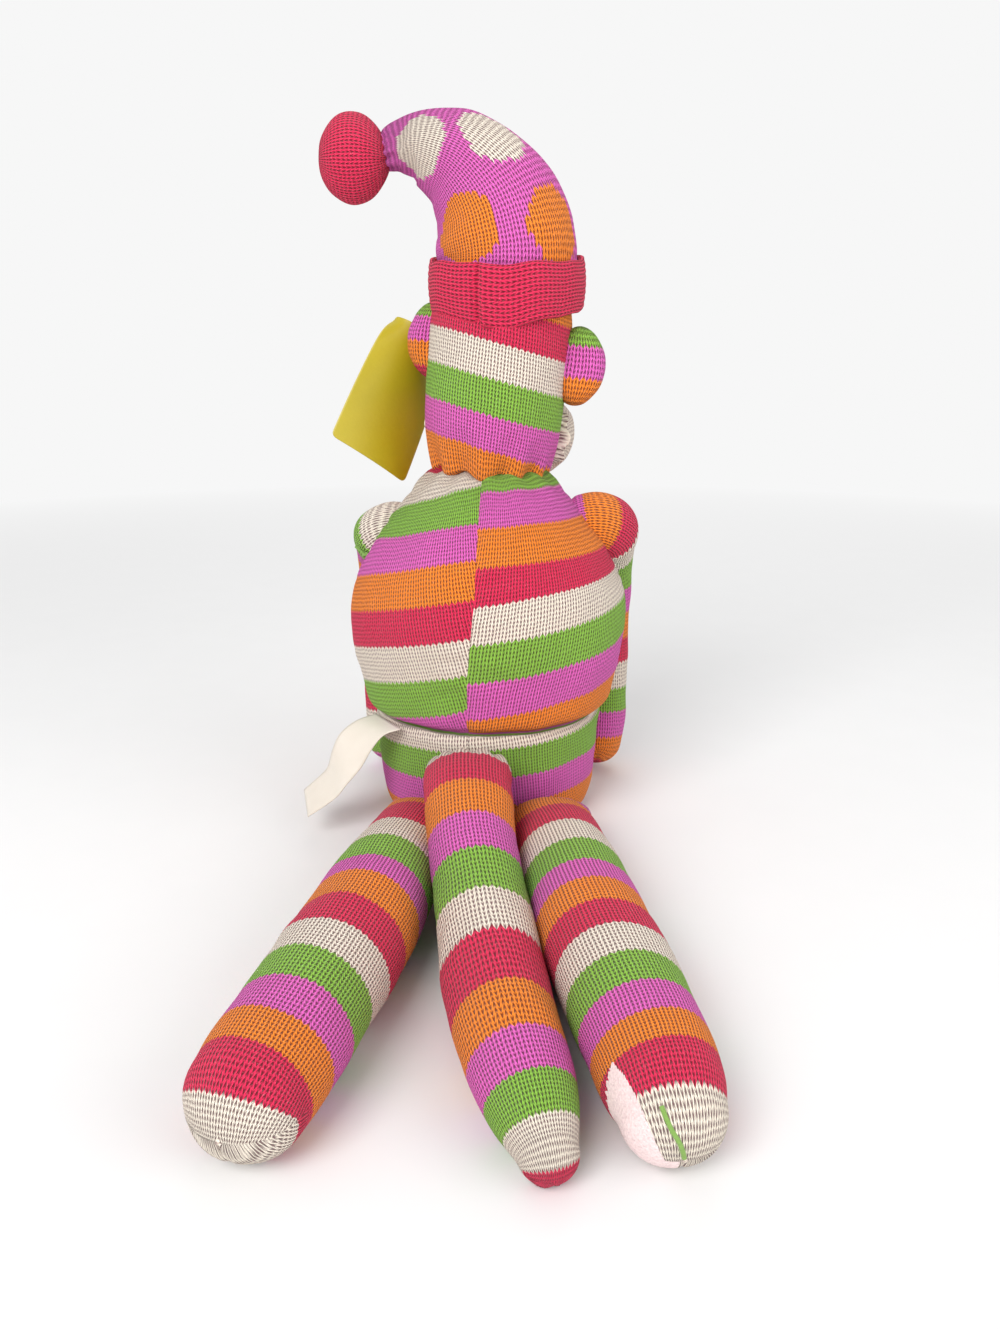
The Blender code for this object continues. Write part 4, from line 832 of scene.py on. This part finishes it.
class BuildHat(bpy.types.Operator):
    """Hat: dotted crown, folded cuff and pompom"""
    bl_idname = "doll.build_hat"
    bl_label = "Hat"

    def execute(self, context):
        stuffing = context.scene.doll_stuffing
        knit = context.scene.doll_knit
        around, along = 84, 96
        places, run, angle = rounded_tube(CROWN, (0, 1, 0), around, along, 0.0, 0.5)
        normals = outward(places)
        push = lumps(places, stuffing.lump_size, stuffing.lump, 11.0)
        tip = np.exp(-((run - 0.0790) / 0.0090) ** 2)[:, None]
        push = push + tip * 0.0011 * np.cos(9 * angle + np.sin(2 * angle))[None]
        places = places + normals * push[..., None]
        wales, base_row = 64, 60

        def stitch_at(row, column, face):
            """Rows count down from the crown's base."""
            return (column / around * wales, base_row - run[row] / COURSE)

        def dots(shader, across, course):
            """Large dots, stepped stitch by stitch"""
            column = across.floor() + 0.5
            colour = (*knit.orchid, 1)
            for middle, level, half_across, half_along, word in (
                    (25.8, 0.0200, 5.5, 0.0165, "orange"), (40.3, 0.0150, 4.9, 0.0098, "orange"),
                    (12.0, 0.0130, 4.4, 0.0120, "orange"), (0.6, 0.0190, 4.5, 0.0130, "orange"),
                    (53.4, 0.0140, 4.6, 0.0100, "orange"), (30.4, 0.0600, 9.2, 0.0096, "cream"),
                    (39.4, 0.0410, 5.2, 0.0086, "cream"), (6.6, 0.0400, 5.0, 0.0110, "cream"),
                    (54.5, 0.0420, 5.2, 0.0086, "cream"), (3.0, 0.0600, 7.0, 0.0090, "cream")):
                aside = abs(column - middle)
                if middle < 9 or middle > 55:
                    aside = aside.maths("MINIMUM", abs(wales - aside))
                off = aside / half_across
                fall = abs(course + 0.5 - (base_row - level / COURSE)) / (half_along / COURSE)
                inside = (off * off + fall * fall) < 1.0
                colour = shader.mix(inside, colour, tuple(getattr(knit, word)))
            return colour

        crown = sew("crown", places, stitch_at, knitted("dotted hat knit", pattern=dots))
        pinned = np.zeros(len(crown.data.vertices), bool)
        pinned[:around * 2] = True
        pinned[-around * 6:] = True
        puff(crown, pinned, 0.8)
        refine(crown)
        finish_piece(crown, "hat", ("hat_crown", "hat_stuffing"))
        self.cuff()
        self.pompom()
        return {"FINISHED"}

    def cuff(self):
        """Folded band: outer wall, round fold at the top and foot, inner wall"""
        around = 150
        base, tall = 0.0566, 0.0178
        outer, inner = 0.0288, 0.0262
        profile = [(inner, base + 0.002)]
        for step in range(7):
            turn = math.pi * step / 6
            profile.append(((outer + inner) / 2 - math.cos(turn) * (outer - inner) / 2,
                            base + 0.0014 - math.sin(turn) * 0.0016))
        for step in range(1, 14):
            part = step / 14
            profile.append((outer + 0.0006 * math.sin(math.pi * part),
                            base + 0.0014 + (tall - 0.003) * part))
        for step in range(7):
            turn = math.pi * step / 6
            profile.append(((outer + inner) / 2 + math.cos(turn) * (outer - inner) / 2,
                            base + tall - 0.0016 + math.sin(turn) * 0.0018))
        profile.append((inner, base + tall - 0.004))
        angle = np.linspace(0, math.tau, around, endpoint=False)
        profile = np.array(profile)
        seam = math.radians(-109.0)
        apart = (angle - seam + math.pi) % math.tau - math.pi
        places = np.empty((len(profile), around, 3))
        steps = np.linalg.norm(np.diff(profile, axis=0), axis=1)
        run = np.concatenate([[0], np.cumsum(steps)])
        lap = 0.0014 * np.exp(-((apart - 0.05) / 0.09) ** 2) * (apart > -0.01)
        groove = 0.0020 * np.exp(-((apart + 0.035) / 0.032) ** 2)
        wave = 0.0005 * np.sin(5 * angle + 0.7) + 0.0004 * np.sin(9 * angle)
        for row, (radius, level) in enumerate(profile):
            side = 1.0 if radius > (outer + inner) / 2 else 0.0
            part = (level - base) / tall
            rib = 0.00034 * math.cos(math.tau * level / 0.0024)
            reach = radius + side * (lap - groove + wave * 0.6 + rib)
            places[row, :, 0] = reach * np.cos(angle)
            places[row, :, 1] = reach * np.sin(angle)
            sag = 0.0034 * np.exp(-((apart - 0.25) / 0.62) ** 2) * (1 - part)
            places[row, :, 2] = level + wave * 0.8 - sag
        turned = np.array(CUFF_PLACE.to_3x3())
        places = places @ turned.T + np.array(CUFF_PLACE.translation)

        last = len(places) - 1

        def stitch_at(row, column, face):
            """Stitches lie on their side round the cuff."""
            turn = (column / around * math.tau - seam) / math.tau
            return (run[min(row, last)] / 0.0024, turn * 96)

        cuff = sew("cuff", np.concatenate([places, places[:1]]), stitch_at,
                   knitted("red cuff knit", ("raspberry",)), closed=False)
        refine(cuff)
        finish_piece(cuff, "hat", ("hat_cuff",))

    def pompom(self):
        """Knitted ball, its stitches drawn together where it is tied to the tip"""
        around, rows = 72, 44
        centre = Vector((-0.0478, 0, 0.2512))
        long, deep, tall = 0.0127, 0.0132, 0.0150
        turn = np.linspace(0.02, math.pi - 0.02, rows)
        angle = np.linspace(0, math.tau, around, endpoint=False)
        neck = np.exp(-((math.pi - turn) / 0.55) ** 2)
        reach = 1 - 0.10 * neck
        places = np.empty((rows, around, 3))
        places[..., 0] = centre.x - (long * np.cos(turn))[:, None]
        places[..., 1] = (deep * np.sin(turn) * reach)[:, None] * np.cos(angle)
        places[..., 2] = centre.z + (tall * np.sin(turn) * reach)[:, None] * np.sin(angle)
        folds = (neck * np.sin(turn) ** 0.5)[:, None] * 0.0008 * np.cos(12 * angle)[None]
        push = folds + lumps(places, 0.012, 0.0005, 13.0)
        places = places + outward(places) * push[..., None]

        def stitch_at(row, column, face):
            """Columns run from pole to pole."""
            return (column / around * 38, turn[row] / math.pi * 25)

        ball = sew("pompom", places, stitch_at, knitted("red ball knit", ("raspberry",)))
        refine(ball)
        finish_piece(ball, "pompom", ("hat_pompom",))


def mouth_line(count):
    """Places just in front of the muzzle along the stitched smile."""
    places = []
    for share in np.linspace(-1, 1, count):
        swing = share * 1.28
        local = Vector((0.0300 * math.sin(swing), 0.0290 * math.cos(swing),
                        0.0046 * share ** 2 - 0.0030))
        places.append(HEAD_TURNED.to_3x3() @ local + Vector((0.0052, 0.0175, 0.1556)))
    return places


class BuildFace(bpy.types.Operator):
    """Muzzle with its stitched mouth, nostrils, eyes and ears"""
    bl_idname = "doll.build_face"
    bl_label = "Face"

    def execute(self, context):
        knit = context.scene.doll_knit
        hint = HEAD_TURNED.to_3x3() @ Vector((1, 0, 0))
        around = 96
        places, run, angle = rounded_tube(MUZZLE, tuple(hint), around, 40, 0.0, 0.555, full=0.84)
        normals = outward(places)
        push = lumps(places, 0.018, 0.0006, 17.0)
        root = np.exp(-(run / 0.006) ** 2)[:, None]
        push = push + root * 0.0010 * np.cos(16 * angle)[None] - root * 0.0008
        places = places + normals * push[..., None]

        def stitch_at(row, column, face):
            """Rows run level across the whole front."""
            turn = math.tau * column / around
            apart = run[-1] - run[row] + 0.0005
            return (apart * math.cos(turn) * 0.95 / knit.wale + 30,
                    apart * math.sin(turn) * 0.80 / COURSE + 60)

        muzzle = sew("muzzle_pad", places, stitch_at, knitted("cream muzzle knit", ("cream",)))
        line = np.array([muzzle.closest_point_on_mesh(place)[1] for place in mouth_line(60)])
        spots = read_places(muzzle.data)
        apart = np.linalg.norm(spots[:, None] - line[None], axis=2).min(axis=1)
        inward = np.array([vertex.normal for vertex in muzzle.data.vertices])
        spots -= inward * (0.0012 * np.exp(-(apart / 0.0026) ** 2))[:, None]
        set_places(muzzle, spots)
        refine(muzzle)
        finish_piece(muzzle, "head", ("muzzle",))
        self.ears()
        return {"FINISHED"}

    def ears(self):
        """Two oval pads with striped rows, drawn in where they are sewn on"""
        half_wide, half_thick, half_tall, rows_to_stripe = 0.0098, 0.0068, 0.0143, 6
        for name, centre, side, shift, pitch in (
                ("ear_left", (-0.0197, 0.0048, 0.1890), -1, 0.45, 0.0090),
                ("ear_right", (0.0338, -0.0058, 0.1795), 1, 0.50, 0.0116)):
            around, rows = 60, 40
            turn = np.linspace(0.03, math.pi - 0.03, rows)
            angle = np.linspace(0, math.tau, around, endpoint=False)
            local = np.empty((rows, around, 3))
            local[..., 0] = (half_wide * np.sin(turn))[:, None] * np.cos(angle)
            local[..., 1] = (half_thick * np.sin(turn) ** 0.8)[:, None] * np.sin(angle)
            local[..., 2] = (half_tall * np.cos(turn))[:, None]
            local[..., 0] += side * 0.0012 * (1 - (local[..., 2] / half_tall) ** 2)
            dent = np.exp(-(local[..., 0] / 0.006) ** 2 - (local[..., 2] / 0.008) ** 2)
            local[..., 1] *= 1 - 0.28 * dent
            turned = np.array(HEAD_TURNED.to_3x3())
            places = local @ turned.T + np.array(centre)
            push = lumps(places, 0.010, 0.0004, side + 20.0)
            places = places + outward(places) * push[..., None]

            def stitch_at(row, column, face):
                """Stripes lie level across the ear."""
                stripe = (half_tall - half_tall * math.cos(turn[row])) / pitch + shift + 1
                return (column / around * 22, stripe * rows_to_stripe)

            ear = sew(name + "_pad", places, stitch_at,
                      knitted(name + " knit", STRIPES, courses=rows_to_stripe))
            refine(ear)
            finish_piece(ear, "head", (name,))


class BuildTrim(bpy.types.Operator):
    """Sewn label, swing tag, knot, stitches, eyes, nostrils and mouth"""
    bl_idname = "doll.build_trim"
    bl_label = "Labels and trim"

    def execute(self, context):
        knit = context.scene.doll_knit
        trim = context.scene.doll_trim
        self.label(trim)
        self.card(trim)
        yarn = {word: plain_trim(word + " yarn",
                                 tuple(0.74 * part + 0.05 for part in getattr(knit, word)),
                                 900.0, 0.0003, (1, 1, 3), Roughness=0.9, Sheen_Weight=0.15)
                for word in ("raspberry", "green")}
        black = plain_trim("black plastic", tuple(trim.eye), 500.0, 0.00003, Roughness=0.16,
                           Coat_Weight=0.6, Coat_Roughness=0.08)
        nylon = plain_trim("clear nylon", (0.86, 0.88, 0.88), 300.0, 0.00002, Roughness=0.22,
                           Transmission_Weight=0.7, IOR=1.53)
        for node, material in (("eye_left", black), ("eye_right", black),
                               ("nostril_left", black), ("nostril_right", black),
                               ("tag_fastener", nylon)):
            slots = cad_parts[node].data.materials
            slots.clear()
            slots.append(material)
        self.laid_yarn("toe_stitch", "leg_right", TOE_STITCH, 0.0006, yarn["green"])
        self.laid_yarn("mouth_stitch", "muzzle_pad", mouth_line(24), 0.0009, yarn["raspberry"])
        finish_piece(bpy.data.objects["toe_stitch"], "leg_right", ())
        finish_piece(bpy.data.objects["mouth_stitch"], "head", ("mouth",))
        self.knot(yarn["green"])
        return {"FINISHED"}

    def yarn_line(self, name, places, radius, material, roundness=3, steps=8):
        """Round yarn along these places, as a mesh."""
        line = bpy.data.curves.new(name, "CURVE")
        line.dimensions = "3D"
        line.bevel_depth = radius
        line.bevel_resolution = roundness
        line.use_fill_caps = True
        spline = line.splines.new("NURBS")
        spline.points.add(len(places) - 1)
        spline.use_endpoint_u = True
        spline.order_u = 3
        spline.resolution_u = steps
        for point, place in zip(spline.points, places):
            point.co = (*place, 1)
        add_piece(name, line)
        bpy.ops.object.convert(target="MESH")
        piece = bpy.context.object
        piece.data.materials.clear()
        piece.data.materials.append(material)
        bpy.ops.object.shade_smooth()
        return piece

    def laid_yarn(self, name, carrier, places, radius, material):
        """Yarn laid onto the piece that carries it."""
        sunk = 0.45
        line = []
        for place in places:
            found, spot, normal, _ = bpy.data.objects[carrier].closest_point_on_mesh(Vector(place))
            if not found:
                raise RuntimeError(name + " finds no surface to lie on")
            line.append(spot + normal * radius * sunk)
        self.yarn_line(name, line, radius, material)

    def knot(self, material):
        """Yarn wound three times round itself, with two short ends"""
        centre = Vector((-0.0490, 0.0016, 0.1058))
        _, spot, normal, _ = bpy.data.objects["arm_left"].closest_point_on_mesh(centre)
        side = normal.orthogonal().normalized()
        up = normal.cross(side)
        line = [spot + up * 0.0065 + side * 0.002 - normal * 0.0002]
        for step in range(50):
            turn = math.tau * step / 15
            swing = 0.0016 + 0.0003 * math.sin(turn * 2.3)
            lift = 0.0008 + 0.0010 * math.sin(turn * 0.63 + 0.4) ** 2
            tilt = side * math.cos(turn) * swing + up * math.sin(turn) * swing * 0.75
            line.append(spot + tilt + normal * lift)
        line.append(spot - up * 0.0058 + side * 0.003)
        piece = self.yarn_line("arm_knot", line, 0.00055, material, roundness=2, steps=4)
        finish_piece(piece, "arm_left", ("arm_left_knot",))

    def label(self, trim):
        """Folded ribbon, sewn into the waist seam, twisting as it falls"""
        rows, columns = 44, 15
        _, first = smooth_path([edge[0] for edge in LABEL_EDGES], rows)
        _, second = smooth_path([edge[1] for edge in LABEL_EDGES], rows)
        share = np.linspace(0, 1, columns)[None, :, None]
        places = first[:, None] * (1 - share) + second[:, None] * share
        length = np.linalg.norm(np.diff((first + second) / 2, axis=0), axis=1).sum()
        mesh = bpy.data.meshes.new("sewn_label")
        faces = [(r * columns + c, r * columns + c + 1, (r + 1) * columns + c + 1,
                  (r + 1) * columns + c) for r in range(rows - 1) for c in range(columns - 1)]
        mesh.from_pydata([tuple(p) for p in places.reshape(-1, 3)], [], faces)
        layer = mesh.uv_layers.new(name="stitches")
        for loop in mesh.loops:
            row, column = divmod(loop.vertex_index, columns)
            layer.data[loop.index].uv = (column / (columns - 1) * trim.label_width * 1000,
                                         row / (rows - 1) * length * 1000)
        shader = Shader("woven ribbon", Roughness=0.55, Sheen_Weight=0.2,
                        Specular_IOR_Level=0.4)
        across, down = shader.stitch_map()
        rib_pitch, warp_pitch, edge_width = 0.42, 0.30, 0.9
        half = trim.label_width * 500
        ribs = (down * (math.tau / rib_pitch)).sine() * 0.5 + 0.5
        warp = (across * (math.tau / warp_pitch)).sine() * 0.5 + 0.5
        edge = abs(across - half) > half - edge_width
        soil = shader.noise(120.0)
        shade = (ribs * 0.25 + warp * 0.15 + soil * 0.4 + 0.35 - edge * 0.15).clamped()
        dark = tuple(v * w for v, w in zip(trim.ribbon, (0.80, 0.76, 0.70)))
        material = shader.finish(shader.mix(shade, dark, tuple(trim.ribbon)),
                                 ribs * 0.6 + warp * 0.4, 0.00008)
        mesh.materials.append(material)
        piece = add_piece("sewn_label", mesh)
        solid = piece.modifiers.new("ply", "SOLIDIFY")
        solid.thickness = 0.00035
        solid.offset = 0
        apply_modifiers(piece)
        bpy.ops.object.shade_smooth()
        finish_piece(piece, "label", ("care_label",))

    def card(self, trim):
        """Card with a punched hole, curled tightly at its top"""
        across, down = 28, 44
        wide, tall = trim.card_width, trim.card_length
        deselect()
        bpy.ops.mesh.primitive_grid_add(x_subdivisions=across, y_subdivisions=down, size=1)
        piece = bpy.context.object
        piece.name = "swing_tag"
        places = read_places(piece.data)
        above_hole, corner_radius, aside, hole_reach, hole_radius = (0.0045, 0.0022, 0.0042,
                                                                     0.0026, 0.0019)
        flat = np.stack([places[:, 0] * wide, (places[:, 1] - 0.5) * tall + above_hole], axis=1)
        centre = (0, above_hole - tall / 2)
        corner = np.abs(flat - centre) - (wide / 2 - corner_radius, tall / 2 - corner_radius)
        outside = (corner > 0).all(axis=1)
        pull = np.linalg.norm(corner, axis=1)
        trimmed = outside & (pull > corner_radius)
        for index in np.flatnonzero(trimmed):
            toward = corner[index] / pull[index] * corner_radius - corner[index]
            flat[index] += toward * np.sign(flat[index] - centre)
        card_map = flat * 1000
        flat = (flat + (aside, 0)) @ np.array(Matrix.Rotation(math.radians(6.5), 2))
        near = np.linalg.norm(flat, axis=1)
        ring = near < hole_reach
        flat[ring] *= (hole_radius / np.maximum(near[ring], 1e-6))[:, None]
        choose(piece)
        bpy.ops.object.mode_set(mode="EDIT")
        bpy.ops.mesh.select_all(action="DESELECT")
        bpy.ops.mesh.select_mode(type="FACE")
        bpy.ops.object.mode_set(mode="OBJECT")
        for face in piece.data.polygons:
            face.select = bool(all(ring[index] for index in face.vertices))
        share = np.clip((above_hole - flat[:, 1]) / tall, 0, 1)
        radius = np.where(flat[:, 0] < 0, 0.0078, 0.0105) + 0.075 * share ** 1.2
        bend = flat[:, 0] / radius
        back = radius * (1 - np.cos(bend)) + 0.0015 * np.sin(share * math.pi)
        local = np.stack([radius * np.sin(bend), back, flat[:, 1]], axis=1)
        turned = np.array(TAG_PLACE.to_3x3())
        spots = local @ turned.T + np.array(TAG_PLACE.translation)
        set_places(piece, spots)
        layer = piece.data.uv_layers.new(name="stitches")
        for loop in piece.data.loops:
            layer.data[loop.index].uv = card_map[loop.vertex_index]
        bpy.ops.object.mode_set(mode="EDIT")
        bpy.ops.mesh.delete(type="FACE")
        bpy.ops.object.mode_set(mode="OBJECT")
        solid = piece.modifiers.new("ply", "SOLIDIFY")
        solid.thickness = 0.00045
        solid.offset = 0
        apply_modifiers(piece)
        shader = Shader("printed card", Roughness=0.42, Specular_IOR_Level=0.45)
        fibre = shader.noise(700.0, 3.0)
        wash = shader.noise(45.0)
        worn_edge = wide * 500 - 0.7
        worn = (abs(shader.stitch_map()[0]) - worn_edge).maths("MAXIMUM", 0.0) * 0.8
        dark = tuple(v * w for v, w in zip(trim.card, (0.78, 0.76, 0.6)))
        colour = shader.mix((wash * 0.8 + fibre * 0.3).clamped(), dark, tuple(trim.card))
        colour = shader.mix(worn.clamped(), colour, (0.78, 0.72, 0.30))
        piece.data.materials.clear()
        piece.data.materials.append(shader.finish(colour, fibre, 0.00005))
        choose(piece)
        bpy.ops.object.shade_smooth_by_angle(angle=math.radians(40))
        finish_piece(piece, "tag", ("hang_tag",))


class BuildStage(bpy.types.Operator):
    """Floor, backdrop, lamps and the camera"""
    bl_idname = "doll.build_stage"
    bl_label = "Stage"

    def execute(self, context):
        scene = context.scene
        stage = scene.doll_stage
        deselect()
        bpy.ops.mesh.primitive_plane_add(size=6.0, location=(0, 0, -0.0002))
        floor = context.object
        floor.name = "floor"
        shader = Shader("floor paint", Roughness=0.85)
        grain = shader.noise(40.0)
        colour = shader.mix(grain, tuple(v * 0.98 for v in stage.floor), tuple(stage.floor))
        shader.finish(colour)
        rays = [shader.node("ShaderNodeLightPath", {}, out=index) for index in (0, 3, 6)]
        seen = (rays[0] + rays[1] + rays[2]).clamped()
        place = shader.node("ShaderNodeTexCoord", {}, out=3)
        distance = shader.node("ShaderNodeVectorMath", {"operation": "LENGTH"}, place, out=1)
        far = ((distance - 0.40) / 0.75).clamped()
        glow = shader.node("ShaderNodeEmission", {}, BACKDROP, 1.0)
        surface = Value(shader, shader.surface.outputs[0])
        mixed = shader.node("ShaderNodeMixShader", {}, far * seen, surface, glow)
        shader.feed(shader.tree.nodes["Material Output"].inputs[0], mixed)
        floor.data.materials.append(shader.material)
        scene.world = scene.world or bpy.data.worlds.new("World")
        scene.world.use_nodes = True
        scene.world.node_tree.nodes.clear()
        sky = Tree(scene.world.node_tree)
        camera_ray = sky.node("ShaderNodeLightPath", {})
        light = sky.node("ShaderNodeBackground", {}, (1, 1, 1, 1), 0.58)
        backdrop = sky.node("ShaderNodeBackground", {}, BACKDROP, 1.0)
        pick = sky.node("ShaderNodeMixShader", {}, camera_ray, light, backdrop)
        sky.node("ShaderNodeOutputWorld", {}, pick)
        for name, place, size, power in (("key lamp", (-0.50, -0.95, 0.85), 0.7, 12.0),
                                         ("fill lamp", (0.9, -0.6, 0.5), 0.9, 5.0),
                                         ("back lamp", (0.1, 0.9, 0.9), 0.8, 3.0)):
            data = bpy.data.lights.new(name, "AREA")
            data.size = size
            data.energy = power
            lamp = bpy.data.objects.new(name, data)
            lamp.location = place
            aim = Vector((0, -0.06, 0.12)) - Vector(place)
            lamp.rotation_euler = aim.to_track_quat("-Z", "Y").to_euler()
            scene.collection.objects.link(lamp)
        lens = bpy.data.cameras.new("camera")
        lens.sensor_width = 36.0
        lens.lens = stage.lens
        lens.clip_start = 0.01
        camera = bpy.data.objects.new("camera", lens)
        camera.location = stage.camera_place
        camera.rotation_euler = (math.pi / 2 - stage.camera_pitch, 0, 0)
        scene.collection.objects.link(camera)
        scene.camera = camera
        scene.view_settings.view_transform = "Standard"
        return {"FINISHED"}


class DollPanel(bpy.types.Panel):
    """Lists the doll's pieces in the sidebar"""
    bl_idname = "VIEW3D_PT_doll"
    bl_label = "Sock monkey doll"
    bl_space_type = "VIEW_3D"
    bl_region_type = "UI"
    bl_category = "Doll"

    def draw(self, context):
        for operator in OPERATORS:
            self.layout.operator(operator.bl_idname)


GROUPS = {"doll_knit": DollKnit, "doll_stuffing": DollStuffing, "doll_trim": DollTrim,
          "doll_stage": DollStage}
OPERATORS = (BuildStage, BuildBody, BuildHead, BuildLimbs, BuildHat, BuildFace, BuildTrim)


def register():
    """Registers the groups, operators and the panel."""
    for word, group in GROUPS.items():
        bpy.utils.register_class(group)
        setattr(bpy.types.Scene, word, PointerProperty(type=group))
    for operator in (*OPERATORS, DollPanel):
        bpy.utils.register_class(operator)


def unregister():
    """Takes them away again."""
    for operator in (DollPanel, *reversed(OPERATORS)):
        bpy.utils.unregister_class(operator)
    for word, group in GROUPS.items():
        delattr(bpy.types.Scene, word)
        bpy.utils.unregister_class(group)


def main():
    """Builds everything in order."""
    register()
    bpy.ops.doll.build_stage()
    bpy.ops.doll.build_body()
    bpy.ops.doll.build_head()
    bpy.ops.doll.build_limbs()
    bpy.ops.doll.build_hat()
    bpy.ops.doll.build_face()
    bpy.ops.doll.build_trim()


if __name__ == "__main__":
    main()
